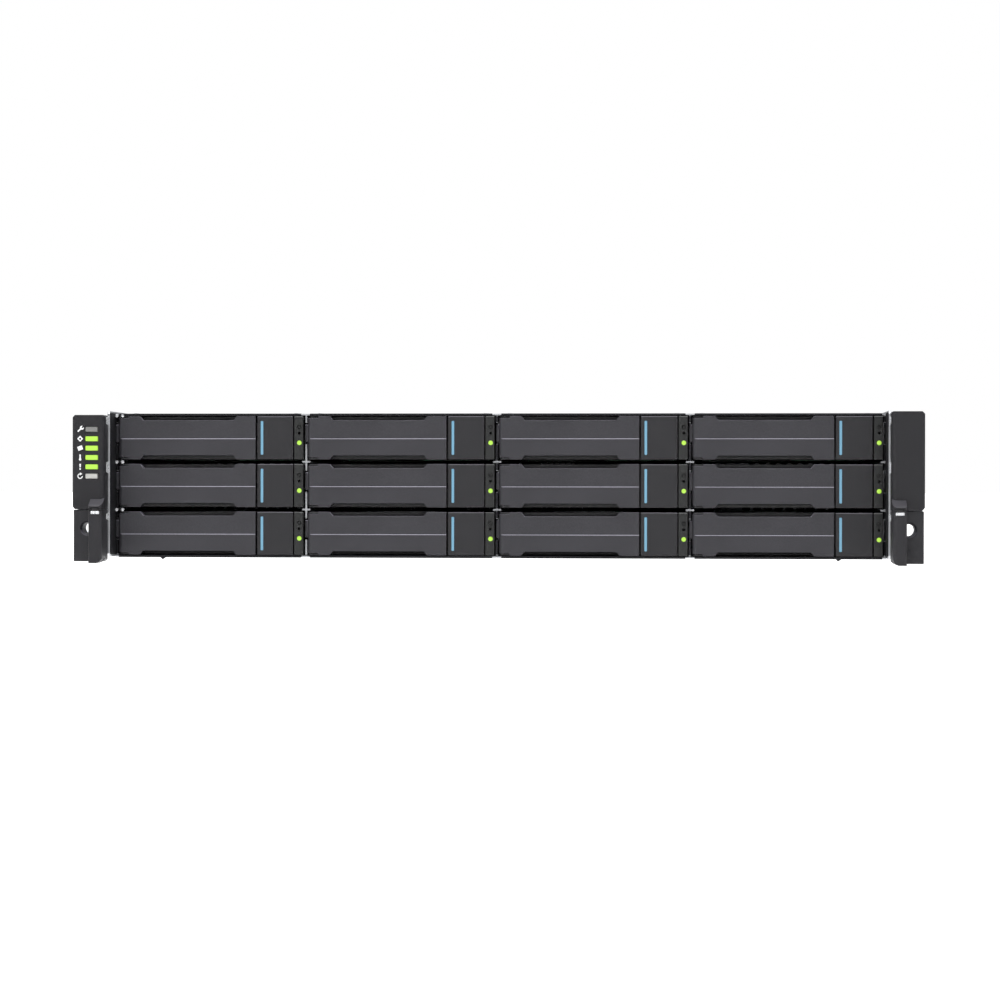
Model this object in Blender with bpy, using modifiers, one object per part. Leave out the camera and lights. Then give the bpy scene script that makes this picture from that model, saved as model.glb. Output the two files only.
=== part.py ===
"""A 19-inch rack storage unit, 2U high, with twelve hot-swap drive bays.

X runs to the right as seen from the front, Y from the front to the back, Z up. The origin is the
centre of the unit's footprint, at the height of its feet. Every size below is in millimetres, and
the helpers turn it into metres.
"""

from math import cos, pi, radians, sin

import bmesh
import bpy
from mathutils import Matrix, Vector

MM = 0.001
GAP = 0.3  # running clearance between neighbouring pieces
SINK = 0.1  # how far one shape reaches into the next before they are joined

# ---------------------------------------------------------------- driving dimensions
RACK_WIDTH = 482.6
OVERALL_DEPTH = 513.0
GRIP_PROUD = 6.0  # the grips stand this far in front of the ear covers

EAR_FACE = -OVERALL_DEPTH / 2 + GRIP_PROUD
BAY_FACE = EAR_FACE + 22.6
REAR_FACE = EAR_FACE + 501.0

# drive bays: 4 columns between dividers, 3 rows
COLUMNS = 4
ROWS = 3
COLUMN_PITCH = 110.55
ROW_PITCH = 27.556
BEZEL_BOTTOM = 4.56
BEZEL_HEIGHT = 24.83
BEZEL_LEFT = 1.25
BEZEL_RIGHT = COLUMN_PITCH - 1.25

# sheet metal
FLOOR_LOW = 3.2
FLOOR_TOP = 4.0
WALL_IN = 220.6
WALL_OUT = 221.6
WALL_TOP = 85.9
CAGE_TOP_LOW = 85.1
COVER_LOW = 86.2
COVER_TOP = 87.0
DIVIDER_SET_BACK = 4.0
SHEET = 1.0

# bays at the back
PARTITION_X = 134.0  # centre of the walls between the controllers and the power supplies
SHELF_Z = 44.5  # centre of the shelf between the two controllers
MIDPLANE_FRONT = EAR_FACE + 220.0
MIDPLANE_BACK = EAR_FACE + 223.0
REAR_BAY_FRONT = EAR_FACE + 232.0
BODY_BACK = REAR_FACE - 1.8

# ---------------------------------------------------------------- scene and materials
for leftover in list(bpy.data.objects):
    bpy.data.objects.remove(leftover)

ASSEMBLY = bpy.data.collections.new("rack_storage_unit")
CUTTERS = bpy.data.collections.new("cutters")
for collection in (ASSEMBLY, CUTTERS):
    bpy.context.scene.collection.children.link(collection)


def make_material(name, color, roughness, metallic=0.0):
    material = bpy.data.materials.new(name)
    material.use_nodes = True
    shader = material.node_tree.nodes["Principled BSDF"]
    shader.inputs["Base Color"].default_value = (*color, 1.0)
    shader.inputs["Roughness"].default_value = roughness
    shader.inputs["Metallic"].default_value = metallic
    return material


BEZEL_BLACK = make_material("bezel_black", (0.072, 0.072, 0.078), 0.55)
EAR_BLACK = make_material("ear_black", (0.045, 0.045, 0.050), 0.50)
BUTTON_BLACK = make_material("button_black", (0.062, 0.062, 0.067), 0.50)
KEY_GREY = make_material("key_grey", (0.45, 0.45, 0.46), 0.45)
ZINC_STEEL = make_material("zinc_steel", (0.66, 0.67, 0.69), 0.35, 1.0)
DRIVE_ALLOY = make_material("drive_alloy", (0.50, 0.51, 0.52), 0.40, 1.0)
BOARD_GREEN = make_material("board_green", (0.03, 0.12, 0.06), 0.50)
LENS_GREEN = make_material("lens_green", (0.46, 0.71, 0.11), 0.25)
FAN_BLACK = make_material("fan_black", (0.03, 0.03, 0.03), 0.45)
HANDLE_BLACK = make_material("handle_black", (0.04, 0.04, 0.04), 0.45)
LATCH_BLUE = make_material("latch_blue", (0.12, 0.30, 0.45), 0.40)


# ---------------------------------------------------------------- shapes
def keep_as_tool(mesh):
    """A loose solid that will be joined to others or cut from them, and is not rendered itself."""
    tool = bpy.data.objects.new("tool", mesh)
    tool.hide_render = True
    tool.display_type = "WIRE"
    CUTTERS.objects.link(tool)
    return tool


def tool_from(bm):
    bmesh.ops.recalc_face_normals(bm, faces=bm.faces)
    mesh = bpy.data.meshes.new("tool")
    bm.to_mesh(mesh)
    bm.free()
    return keep_as_tool(mesh)


def box(low, high):
    """A box between two opposite corners."""
    low = Vector(low) * MM
    high = Vector(high) * MM
    place = Matrix.Translation((low + high) / 2) @ Matrix.Diagonal((*(high - low), 1.0))
    bm = bmesh.new()
    bmesh.ops.create_cube(bm, size=1.0, matrix=place)
    return tool_from(bm)


def mirrored_boxes(low, high):
    """The same box on the right side and, mirrored, on the left."""
    left_low = (-high[0], low[1], low[2])
    left_high = (-low[0], high[1], high[2])
    return [box(low, high), box(left_low, left_high)]


def cylinder(start, direction, length, radius, end_radius=None, sides=24):
    """A cylinder or cone from its start point along a direction."""
    axis = Vector(direction).normalized()
    centre = (Vector(start) + axis * length / 2) * MM
    turn = axis.to_track_quat("Z", "Y").to_matrix().to_4x4()
    bm = bmesh.new()
    bmesh.ops.create_cone(
        bm,
        cap_ends=True,
        segments=sides,
        radius1=radius * MM,
        radius2=(radius if end_radius is None else end_radius) * MM,
        depth=length * MM,
        matrix=Matrix.Translation(centre) @ turn,
    )
    return tool_from(bm)


PLANES = {
    "XY": Matrix(((1, 0, 0), (0, 1, 0), (0, 0, 1))),
    "XZ": Matrix(((1, 0, 0), (0, 0, -1), (0, 1, 0))),
    "YZ": Matrix(((0, 0, 1), (1, 0, 0), (0, 1, 0))),
}


def prism(outline, plane, low, high):
    """A flat outline in one plane, made thick between two heights along the plane's third axis."""
    curve = bpy.data.curves.new("outline", "CURVE")
    curve.dimensions = "2D"
    curve.fill_mode = "BOTH"
    curve.extrude = (high - low) / 2 * MM
    spline = curve.splines.new("POLY")
    spline.points.add(len(outline) - 1)
    for point, (u, v) in zip(spline.points, outline):
        point.co = (u * MM, v * MM, 0.0, 1.0)
    spline.use_cyclic_u = True
    holder = bpy.data.objects.new("outline", curve)
    CUTTERS.objects.link(holder)
    graph = bpy.context.evaluated_depsgraph_get()
    mesh = bpy.data.meshes.new_from_object(holder.evaluated_get(graph))
    bpy.data.objects.remove(holder)
    bpy.data.curves.remove(curve)
    middle = (low + high) / 2 * MM
    offset = {"XY": (0, 0, middle), "XZ": (0, middle, 0), "YZ": (middle, 0, 0)}[plane]
    mesh.transform(Matrix.Translation(offset) @ PLANES[plane].to_4x4())
    bm = bmesh.new()
    bm.from_mesh(mesh)
    bpy.data.meshes.remove(mesh)
    bmesh.ops.remove_doubles(bm, verts=bm.verts, dist=0.01 * MM)
    return tool_from(bm)


def fused(name, solids, cutters=()):
    """One mesh: the solids joined together, then the cutters taken away from them."""
    body = solids[0]
    steps = [("UNION", tool) for tool in solids[1:]]
    steps += [("DIFFERENCE", tool) for tool in cutters]
    for operation, tool in steps:
        modifier = body.modifiers.new(operation.title(), "BOOLEAN")
        modifier.operation = operation
        modifier.solver = "EXACT"
        modifier.object = tool
    graph = bpy.context.evaluated_depsgraph_get()
    mesh = bpy.data.meshes.new_from_object(body.evaluated_get(graph))
    mesh.name = name
    for tool in (*solids, *cutters):
        bpy.data.objects.remove(tool)
    bm = bmesh.new()
    bm.from_mesh(mesh)
    bmesh.ops.remove_doubles(bm, verts=bm.verts, dist=0.005 * MM)
    bmesh.ops.dissolve_limit(bm, angle_limit=radians(0.5), verts=bm.verts, edges=bm.edges)
    bm.to_mesh(mesh)
    bm.free()
    return mesh


def place(name, mesh, material, origin=(0.0, 0.0, 0.0), bevel=None):
    """A named node of the unit, with its origin at the given point."""
    node = bpy.data.objects.new(name, mesh)
    node.location = Vector(origin) * MM
    if not mesh.materials:
        mesh.materials.append(material)
    if bevel:
        rounding = node.modifiers.new("Bevel", "BEVEL")
        rounding.width = bevel * MM
        rounding.segments = 1
        rounding.limit_method = "ANGLE"
        rounding.angle_limit = radians(60)
    ASSEMBLY.objects.link(node)
    return node


# ---------------------------------------------------------------- drive bays
LEVER_RIGHT = 81.55
LEVER_THICK = 5.2
LEVER_PIVOT_X = BEZEL_LEFT + LEVER_THICK / 2
LEVER_PIVOT_Y = LEVER_THICK / 2
KNUCKLE_RIGHT = 7.0
FORK_THICK = 0.9
BUTTON_LEFT = 82.55
BUTTON_RIGHT = 103.5
BUTTON_THICK = 5.0
STRIP_LEFT = 104.0
CUTOUT_LEFT = 15.95
CUTOUT_RIGHT = 68.65
CUTOUT_DEPTH = 2.3
CUTOUT_SLOPE = 1.8
GROOVE_Z = 11.7
GROOVE_HEIGHT = 0.7
GROOVE_DEPTH = 0.5
GROOVE_LEFT = 6.85
CAM_LEFT = -0.4
CAM_RIGHT = 4.85
CAM_BACK = 9.0
CAM_LOW = 10.0
CAM_HIGH = 20.0
MARK_X = COLUMN_PITCH - 25.2
MARK_WIDTH = 1.6
MARK_HEIGHT = 19.6
MARK_DEPTH = 0.4
NOTCH_LOW = 8.8
NOTCH_HIGH = 21.1
NOTCH_BACK = 16.0
BACK_WALL_LEFT = 12.5
BACK_WALL_FRONT = 8.0
BACK_WALL_BACK = 14.0
CAM_WELL = 10.8
FORK_FRONT = 1.6
DRIVE_WIDTH = 101.6
DRIVE_HEIGHT = 25.4
DRIVE_FRONT = 38.0
DRIVE_BACK = 185.0
RAIL_THICK = 2.4
RAIL_INSET = 1.0
RAIL_BACK = 190.0


def lever_mesh():
    """The hinged front of a carrier, with its origin on the hinge axis at the bezel's lower edge."""
    radius = LEVER_THICK / 2
    right = LEVER_RIGHT - LEVER_PIVOT_X
    steps = 8
    outline = [(right, -radius), (right, radius)]
    for step in range(steps + 1):
        angle = pi / 2 + pi * step / steps
        outline.append((radius * cos(angle), radius * sin(angle)))
    plate = prism(outline, "XY", 0.0, BEZEL_HEIGHT)
    cam_low = (CAM_LEFT - LEVER_PIVOT_X, radius / 2, CAM_LOW)
    cam = box(cam_low, (CAM_RIGHT - LEVER_PIVOT_X, CAM_BACK - LEVER_PIVOT_Y, CAM_HIGH))
    cutters = []
    left = CUTOUT_LEFT - LEVER_PIVOT_X
    far = CUTOUT_RIGHT - LEVER_PIVOT_X
    for edge, inward in ((BEZEL_HEIGHT, -1), (0.0, 1)):
        floor = edge + inward * CUTOUT_DEPTH
        beyond = edge - inward * 1.0
        spread = CUTOUT_SLOPE * (CUTOUT_DEPTH + 1.0) / CUTOUT_DEPTH
        shape = [(left, floor), (far, floor), (far + spread, beyond), (left - spread, beyond)]
        cutters.append(prism(shape, "XZ", -radius - 1.0, radius + 1.0))
    groove_low = (GROOVE_LEFT - LEVER_PIVOT_X, -radius - 1.0, GROOVE_Z - GROOVE_HEIGHT / 2)
    groove_high = (right + 1.0, -radius + GROOVE_DEPTH, GROOVE_Z + GROOVE_HEIGHT / 2)
    cutters.append(box(groove_low, groove_high))
    knuckle = KNUCKLE_RIGHT - LEVER_PIVOT_X
    shoulder = FORK_THICK + GAP
    for low, high in ((-1.0, shoulder), (BEZEL_HEIGHT - shoulder, BEZEL_HEIGHT + 1.0)):
        cutters.append(box((-radius - 1.0, -radius - 1.0, low), (knuckle + GAP, radius + 1.0, high)))
    return fused("carrier_lever", [plate, cam], cutters)


def release_mesh():
    """The wide button beside the lever, which lets the lever go when it is pressed in."""
    face = box((BUTTON_LEFT, 0.0, 0.0), (BUTTON_RIGHT, BUTTON_THICK, BEZEL_HEIGHT))
    middle = BEZEL_HEIGHT / 2
    slot_low = (MARK_X - MARK_WIDTH / 2, -1.0, middle - MARK_HEIGHT / 2)
    slot_high = (MARK_X + MARK_WIDTH / 2, MARK_DEPTH, middle + MARK_HEIGHT / 2)
    return fused("release_button", [face], [box(slot_low, slot_high)])


def module_mesh():
    """A carrier tray with its light strip, rear wall and rails, and the hard drive in it."""
    drive_left = (COLUMN_PITCH - DRIVE_WIDTH) / 2
    drive_low = (BEZEL_HEIGHT - DRIVE_HEIGHT) / 2
    rail_left = drive_left + SINK - RAIL_THICK
    solids = [
        box((BEZEL_LEFT, CAM_WELL, 0.0), (BEZEL_RIGHT, BACK_WALL_BACK, BEZEL_HEIGHT)),
        box((BACK_WALL_LEFT, BACK_WALL_FRONT, 0.0), (BEZEL_RIGHT, BACK_WALL_BACK, BEZEL_HEIGHT)),
        box((STRIP_LEFT, 0.0, 0.0), (BEZEL_RIGHT, BACK_WALL_BACK, BEZEL_HEIGHT)),
    ]
    for low in (0.0, BEZEL_HEIGHT - FORK_THICK):
        high = low + FORK_THICK
        solids.append(box((BEZEL_LEFT, FORK_FRONT, low), (KNUCKLE_RIGHT, CAM_WELL + SINK, high)))
    for left in (rail_left, COLUMN_PITCH - rail_left - RAIL_THICK):
        low = (left, BACK_WALL_BACK - SINK, RAIL_INSET)
        solids.append(box(low, (left + RAIL_THICK, RAIL_BACK, BEZEL_HEIGHT - RAIL_INSET)))
    low = (drive_left, DRIVE_FRONT, drive_low)
    solids.append(box(low, (drive_left + DRIVE_WIDTH, DRIVE_BACK, drive_low + DRIVE_HEIGHT)))
    return fused("drive_module", solids)


def make_bays():
    module = module_mesh()
    lever = lever_mesh()
    button = release_mesh()
    for row in range(ROWS):
        for column in range(COLUMNS):
            number = f"{row * COLUMNS + column + 1:02d}"
            left = (column - COLUMNS / 2) * COLUMN_PITCH
            low = BEZEL_BOTTOM + (ROWS - 1 - row) * ROW_PITCH
            corner = Vector((left, BAY_FACE, low))
            hinge = corner + Vector((LEVER_PIVOT_X, LEVER_PIVOT_Y, 0.0))
            place(f"drive_module_{number}", module, DRIVE_ALLOY, corner)
            place(f"carrier_lever_{number}", lever, BEZEL_BLACK, hinge)
            place(f"release_button_{number}", button, BUTTON_BLACK, corner)


# ---------------------------------------------------------------- sheet metal
LEDGE_REACH = 2.3
FOOT_X = 180.0
FOOT_Y = (EAR_FACE + 142.0, EAR_FACE + 455.0)
FOOT_TIP_RADIUS = 7.0
FOOT_BASE_RADIUS = 9.0
CAGE_BACK = EAR_FACE + 230.0
COVER_FRONT = EAR_FACE + 78.0
COVER_LIP_LOW = 76.0
COVER_SHEET = 0.8
SLOT_HALF = 40.0
SLOT_HEIGHT = 7.0
DIVIDER_BACK = EAR_FACE + 217.0


def row_gaps():
    """The middle height of each gap between two rows of bezels."""
    half_gap = (ROW_PITCH - BEZEL_HEIGHT) / 2
    return [BEZEL_BOTTOM + row * ROW_PITCH - half_gap for row in range(1, ROWS)]


def wall_outline(back, low, high):
    """A divider or side wall seen from the side, with one notch a row for the levers' cams."""
    front = BAY_FACE + DIVIDER_SET_BACK
    outline = [(front, low)]
    for row in range(ROWS):
        bezel = BEZEL_BOTTOM + row * ROW_PITCH
        notch = BAY_FACE + NOTCH_BACK
        outline += [(front, bezel + NOTCH_LOW), (notch, bezel + NOTCH_LOW)]
        outline += [(notch, bezel + NOTCH_HIGH), (front, bezel + NOTCH_HIGH)]
    return [*outline, (front, high), (back, high), (back, low)]


def ledges(centre, sides):
    """The narrow ledges on a divider or wall, one a row gap on each side given as -1 or 1."""
    front = BAY_FACE + DIVIDER_SET_BACK
    found = []
    for height in row_gaps():
        for side in sides:
            ends = sorted((centre + side * (SHEET / 2 - SINK), centre + side * LEDGE_REACH))
            low = (ends[0], front, height - SHEET / 2)
            found.append(box(low, (ends[1], DIVIDER_BACK, height + SHEET / 2)))
    return found


def make_chassis_base():
    wall = wall_outline(BODY_BACK, FLOOR_LOW, WALL_TOP)
    solids = [box((-WALL_OUT, BAY_FACE + 1.0, FLOOR_LOW), (WALL_OUT, BODY_BACK, FLOOR_TOP))]
    for side in (-1, 1):
        ends = sorted((side * WALL_IN, side * WALL_OUT))
        solids.append(prism(wall, "YZ", *ends))
        solids += ledges(side * (WALL_IN + WALL_OUT) / 2, [-side])
    half = SHEET / 2
    low = (PARTITION_X - half, REAR_BAY_FRONT, FLOOR_TOP - SINK)
    solids += mirrored_boxes(low, (PARTITION_X + half, BODY_BACK, WALL_TOP - 1.0))
    reach = PARTITION_X - half + SINK
    solids.append(box((-reach, REAR_BAY_FRONT, SHELF_Z - half), (reach, BODY_BACK, SHELF_Z + half)))
    for x in (-FOOT_X, FOOT_X):
        for y in FOOT_Y:
            height = FLOOR_LOW + SINK
            foot = cylinder((x, y, 0.0), (0, 0, 1), height, FOOT_TIP_RADIUS, FOOT_BASE_RADIUS, 20)
            solids.append(foot)
    place("chassis_base", fused("chassis_base", solids), ZINC_STEEL)


def make_drive_cage():
    low = (-WALL_IN + GAP, BAY_FACE + 1.0, CAGE_TOP_LOW)
    solids = [box(low, (WALL_IN - GAP, CAGE_BACK, WALL_TOP))]
    outline = wall_outline(DIVIDER_BACK, FLOOR_TOP + GAP, CAGE_TOP_LOW + SINK)
    for column in range(1, COLUMNS):
        x = (column - COLUMNS / 2) * COLUMN_PITCH
        solids.append(prism(outline, "YZ", x - SHEET / 2, x + SHEET / 2))
        solids += ledges(x, [-1, 1])
    place("drive_cage", fused("drive_cage", solids), ZINC_STEEL)


def make_top_cover():
    lip_in = WALL_OUT + GAP
    lip_out = lip_in + COVER_SHEET
    solids = [box((-lip_out, COVER_FRONT, COVER_LOW), (lip_out, BODY_BACK, COVER_TOP))]
    lip_low = (lip_in, COVER_FRONT, COVER_LIP_LOW)
    solids += mirrored_boxes(lip_low, (lip_out, BODY_BACK, COVER_LOW + SINK))
    place("top_cover", fused("top_cover", solids), ZINC_STEEL)


def make_midplane():
    edge = WALL_IN - 0.8
    low = (-edge, MIDPLANE_FRONT, FLOOR_TOP + 0.5)
    board = box(low, (edge, MIDPLANE_BACK, CAGE_TOP_LOW - 0.4))
    slots = []
    for column in range(COLUMNS):
        middle = (column - (COLUMNS - 1) / 2) * COLUMN_PITCH
        for height in row_gaps():
            low = (middle - SLOT_HALF, MIDPLANE_FRONT - 1.0, height - SLOT_HEIGHT / 2)
            high = (middle + SLOT_HALF, MIDPLANE_BACK + 1.0, height + SLOT_HEIGHT / 2)
            slots.append(box(low, high))
    place("midplane", fused("midplane", [board], slots), BOARD_GREEN)


# ---------------------------------------------------------------- rack ears
EAR_IN = 222.9
EAR_OUT = RACK_WIDTH / 2
BRACKET_IN = 221.9
BRACKET_OUT = 223.4
BRACKET_FRONT = EAR_FACE + 10.2
FLANGE_BACK = EAR_FACE + 11.9
BRACKET_BACK = EAR_FACE + 75.0
BRACKET_LOW = 3.4
BRACKET_TOP = 87.2
BRACKET_CHAMFER = 1.5
FLANGE_LOW = 5.5
FLANGE_TOP = 84.0
FLANGE_FOOT_LOW = 1.4
EAR_SPLIT_Z = 30.6  # top of the housing; the cover starts a gap above it
GRIP_OUT = 230.8
GRIP_LOW = 0.25
GRIP_BACK = EAR_FACE + 4.0
GRIP_TOE = 1.2  # the grip's lower front edge is cut off by this much
GRIP_NOTCH = 4.0
HOUSING_LOW = 1.1
HOUSING_FACE = EAR_FACE + 0.6
HOLE_X = 232.55
HOLE_Z = 20.0
HOLE_RADIUS = 3.4
HOUSING_INSET = 0.5  # the lower half of an ear is this much narrower than its cover
COVER_WALL = 1.5
COVER_INNER_CORNER = 0.8
COVER_OUTER_CORNER = 1.5
COVER_TOP_Z = {"left": 84.7, "right": 86.5}
ROOF_TOP_Z = 37.3
ROOF_EDGE_Z = 32.8
LENS_X = -230.2
LENS_WIDTH = 7.0
LENS_HEIGHT = 2.7
LENS_TOP_Z = 76.45
LENS_STEP = 5.34
LENS_COUNT = 5
STATUS_BOARD_DEPTH = 6.2
BOARD_THICK = 1.6
CAP_PROUD = 0.2
CAP_BACK = 3.6
CAP_FLANGE_FRONT = 2.0


def across(side, inner, outer):
    """The two X values of a stretch that is given for the right side, on the side -1 or 1."""
    return sorted((side * inner, side * outer))


def rack_hole(side, front, back):
    return cylinder((side * HOLE_X, front, HOLE_Z), (0, 1, 0), back - front, HOLE_RADIUS, sides=20)


def make_bracket(name, side):
    low, high = across(side, BRACKET_IN, BRACKET_OUT)
    wall = prism(
        [
            (BRACKET_FRONT, FLANGE_LOW),
            (BRACKET_FRONT + 6.0, BRACKET_LOW),
            (BRACKET_BACK, BRACKET_LOW),
            (BRACKET_BACK, BRACKET_TOP),
            (BRACKET_FRONT + BRACKET_CHAMFER, BRACKET_TOP),
            (BRACKET_FRONT, BRACKET_TOP - BRACKET_CHAMFER),
        ],
        "YZ",
        low,
        high,
    )
    low, high = across(side, BRACKET_OUT - SINK, EAR_OUT - HOUSING_INSET)
    flange = box((low, BRACKET_FRONT, FLANGE_LOW), (high, FLANGE_BACK, FLANGE_TOP))
    low, high = across(side, EAR_IN + 1.0, EAR_OUT - HOUSING_INSET)
    foot = box((low, BRACKET_FRONT, FLANGE_FOOT_LOW), (high, FLANGE_BACK, FLANGE_LOW + SINK))
    hole = rack_hole(side, BRACKET_FRONT - 1.0, FLANGE_BACK + 1.0)
    place(name, fused(name, [wall, flange, foot], [hole]), ZINC_STEEL)


def make_ear_housing(name, side):
    """The lower half of an ear: a block with the rack screw hole, and the grip standing out of it."""
    back = BRACKET_FRONT - GAP
    low, high = across(side, EAR_IN, EAR_OUT - HOUSING_INSET)
    block = box((low, HOUSING_FACE, HOUSING_LOW), (high, back, EAR_SPLIT_Z))
    low, high = across(side, EAR_IN, GRIP_OUT)
    front = EAR_FACE - GRIP_PROUD
    grip = prism(
        [
            (front + GRIP_TOE, GRIP_LOW),
            (GRIP_BACK, GRIP_LOW),
            (GRIP_BACK, EAR_SPLIT_Z),
            (front, EAR_SPLIT_Z),
            (front, GRIP_LOW + GRIP_TOE),
        ],
        "YZ",
        low,
        high,
    )
    notch_start = (side * EAR_IN, front - 1.0, 0.0)
    notch = cylinder(notch_start, (0, 1, 0), back - front + 2.0, GRIP_NOTCH, sides=4)
    cutters = [rack_hole(side, EAR_FACE + 0.3, back + 1.0), notch]
    place(name, fused(name, [block, grip], cutters), EAR_BLACK, bevel=0.5)


def lens_heights():
    return [LENS_TOP_Z - LENS_STEP * step for step in range(LENS_COUNT + 1)]


def make_ear_cover(name, side, top):
    """The upper half of an ear: a shell open at the back, with the sloping roof of the grip."""
    back = BRACKET_FRONT - GAP
    bottom = EAR_SPLIT_Z + GAP
    inner = side * EAR_IN
    outer = side * EAR_OUT
    outline = [
        (inner, bottom),
        (inner, top - COVER_INNER_CORNER),
        (inner + side * COVER_INNER_CORNER, top),
        (outer - side * COVER_OUTER_CORNER, top),
        (outer, top - COVER_OUTER_CORNER),
        (outer, bottom + COVER_OUTER_CORNER),
        (outer - side * COVER_OUTER_CORNER, bottom),
    ]
    shell = prism(outline, "XZ", EAR_FACE, back)
    low, high = across(side, EAR_IN, GRIP_OUT)
    front = EAR_FACE - GRIP_PROUD
    roof_back = EAR_FACE + 1.0
    slope = [(front, bottom), (roof_back, bottom), (roof_back, ROOF_TOP_Z), (front, ROOF_EDGE_Z)]
    roof = prism(slope, "YZ", low, high)
    low, high = across(side, EAR_IN + COVER_WALL, EAR_OUT - COVER_WALL)
    hollow = box(
        (low, EAR_FACE + COVER_WALL, bottom + COVER_WALL + 1.0),
        (high, back + 1.0, top - COVER_WALL),
    )
    cutters = [hollow]
    if side < 0:
        half = LENS_WIDTH / 2 + GAP
        tall = LENS_HEIGHT / 2 + GAP
        for height in lens_heights():
            low = (LENS_X - half, EAR_FACE - 1.0, height - tall)
            cutters.append(box(low, (LENS_X + half, EAR_FACE + 3.0, height + tall)))
    place(name, fused(name, [shell, roof], cutters), EAR_BLACK)


def make_status_board():
    """The circuit board behind the left cover, with a light pipe for each of the five windows."""
    front = EAR_FACE + STATUS_BOARD_DEPTH
    solids = [box((-239.2, front, 36.0), (-225.0, front + BOARD_THICK, 81.5))]
    half = LENS_WIDTH / 2
    tall = LENS_HEIGHT / 2
    for height in lens_heights()[:LENS_COUNT]:
        low = (LENS_X - half, EAR_FACE, height - tall)
        solids.append(box(low, (LENS_X + half, front + SINK, height + tall)))
    place("status_board", fused("status_board", solids), LENS_GREEN)


def make_service_button():
    half = LENS_WIDTH / 2
    tall = LENS_HEIGHT / 2
    height = lens_heights()[LENS_COUNT]
    cap = box((-half, -CAP_PROUD, -tall), (half, CAP_BACK, tall))
    flange_low = (-half - 1.0, CAP_FLANGE_FRONT, -tall - 0.6)
    flange = box(flange_low, (half + 1.0, CAP_BACK, tall + 0.6))
    mesh = fused("service_button", [cap, flange])
    place("service_button", mesh, KEY_GREY, (LENS_X, EAR_FACE, height))


# ---------------------------------------------------------------- controllers
CANISTER_HALF = 132.9
CANISTER_FRONT = EAR_FACE + 236.0
CANISTER_HEIGHT = 39.2
CANISTER_LOW = {"lower": 4.4, "upper": 45.4}
FACEPLATE_FRONT = REAR_FACE - 1.5
TRAY_THICK = 2.6
PORT_DEPTH = 13.0
# blocks on a canister's tray: left, right, how far they start and end behind its front edge, and top
PORT_BLOCK = (-108.0, 3.5, 248.0, 264.0, 34.0)
HEAT_SINK = (-40.0, 40.0, 60.0, 150.0, 26.0)
CACHE_BATTERY = (60.0, 115.0, 70.0, 190.0, 20.0)
MIDPLANE_PLUGS = ((-96.0, -36.0, 2.0, 14.0, 24.0), (36.0, 96.0, 2.0, 14.0, 24.0))
# centre X, width and height of each port in a canister's rear face
PORTS = ((-100.0, 14.0, 9.6), (-82.0, 14.0, 9.6), (-64.0, 14.0, 9.6), (-46.0, 14.0, 9.6))
PORTS += ((-20.0, 12.0, 9.0), (-4.0, 12.0, 9.0))
PORT_Z = 25.0
EJECTOR_LENGTH = 118.0
EJECTOR_RADIUS = 2.6
EJECTOR_HALF = 4.0
EJECTOR_TAB_HALF = 6.0
EJECTOR_TAB_LENGTH = 20.0
EJECTOR_X = 126.0
EJECTOR_Y = REAR_FACE + 3.4
EJECTOR_Z = 8.5
LUG_THICK = 1.2
LUG_REACH = 3.0
LUG_PROUD = 6.0


def canister_mesh():
    """A controller's tray and rear plate, with its ports, heat sink, battery and plugs."""
    half = CANISTER_HALF
    front = CANISTER_FRONT
    floor = TRAY_THICK - SINK
    tray = box((-half, front, 0.0), (half, REAR_FACE - 1.0, TRAY_THICK))
    plate_low = (-half - GAP, FACEPLATE_FRONT, 0.0)
    solids = [tray, box(plate_low, (half + GAP, REAR_FACE, CANISTER_HEIGHT))]
    for left, right, start, end, top in (PORT_BLOCK, HEAT_SINK, CACHE_BATTERY, *MIDPLANE_PLUGS):
        solids.append(box((left, front + start, floor), (right, front + end, top)))
    wall_low = (half - SHEET, front, floor)
    solids += mirrored_boxes(wall_low, (half, FACEPLATE_FRONT + SINK, CANISTER_HEIGHT - 0.4))
    for low in (EJECTOR_Z - EJECTOR_HALF - GAP - LUG_THICK, EJECTOR_Z + EJECTOR_HALF + GAP):
        lug_high = (EJECTOR_X + LUG_REACH, REAR_FACE + LUG_PROUD, low + LUG_THICK)
        solids.append(box((EJECTOR_X - LUG_REACH, REAR_FACE - SINK, low), lug_high))
    cutters = []
    for x, width, height in PORTS:
        low = (x - width / 2, REAR_FACE - PORT_DEPTH, PORT_Z - height / 2)
        cutters.append(box(low, (x + width / 2, REAR_FACE + 1.0, PORT_Z + height / 2)))
    return fused("controller", solids, cutters)


def ejector_mesh():
    """A controller's pull lever, with its origin on the vertical hinge at its right end."""
    radius = EJECTOR_RADIUS
    steps = 6
    outline = [(-EJECTOR_LENGTH, radius), (-EJECTOR_LENGTH, -radius)]
    for step in range(steps + 1):
        angle = -pi / 2 + pi * step / steps
        outline.append((radius * cos(angle), radius * sin(angle)))
    bar = prism(outline, "XY", -EJECTOR_HALF, EJECTOR_HALF)
    tab_low = (-EJECTOR_LENGTH, -radius, -EJECTOR_TAB_HALF)
    tab = box(tab_low, (-EJECTOR_LENGTH + EJECTOR_TAB_LENGTH, radius, EJECTOR_TAB_HALF))
    return fused("controller_ejector", [bar, tab])


def make_controllers():
    canister = canister_mesh()
    ejector = ejector_mesh()
    for name, low in CANISTER_LOW.items():
        place(f"controller_{name}", canister, ZINC_STEEL, (0.0, 0.0, low))
        hinge = (EJECTOR_X, EJECTOR_Y, low + EJECTOR_Z)
        place(f"controller_ejector_{name}", ejector, HANDLE_BLACK, hinge)


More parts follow.
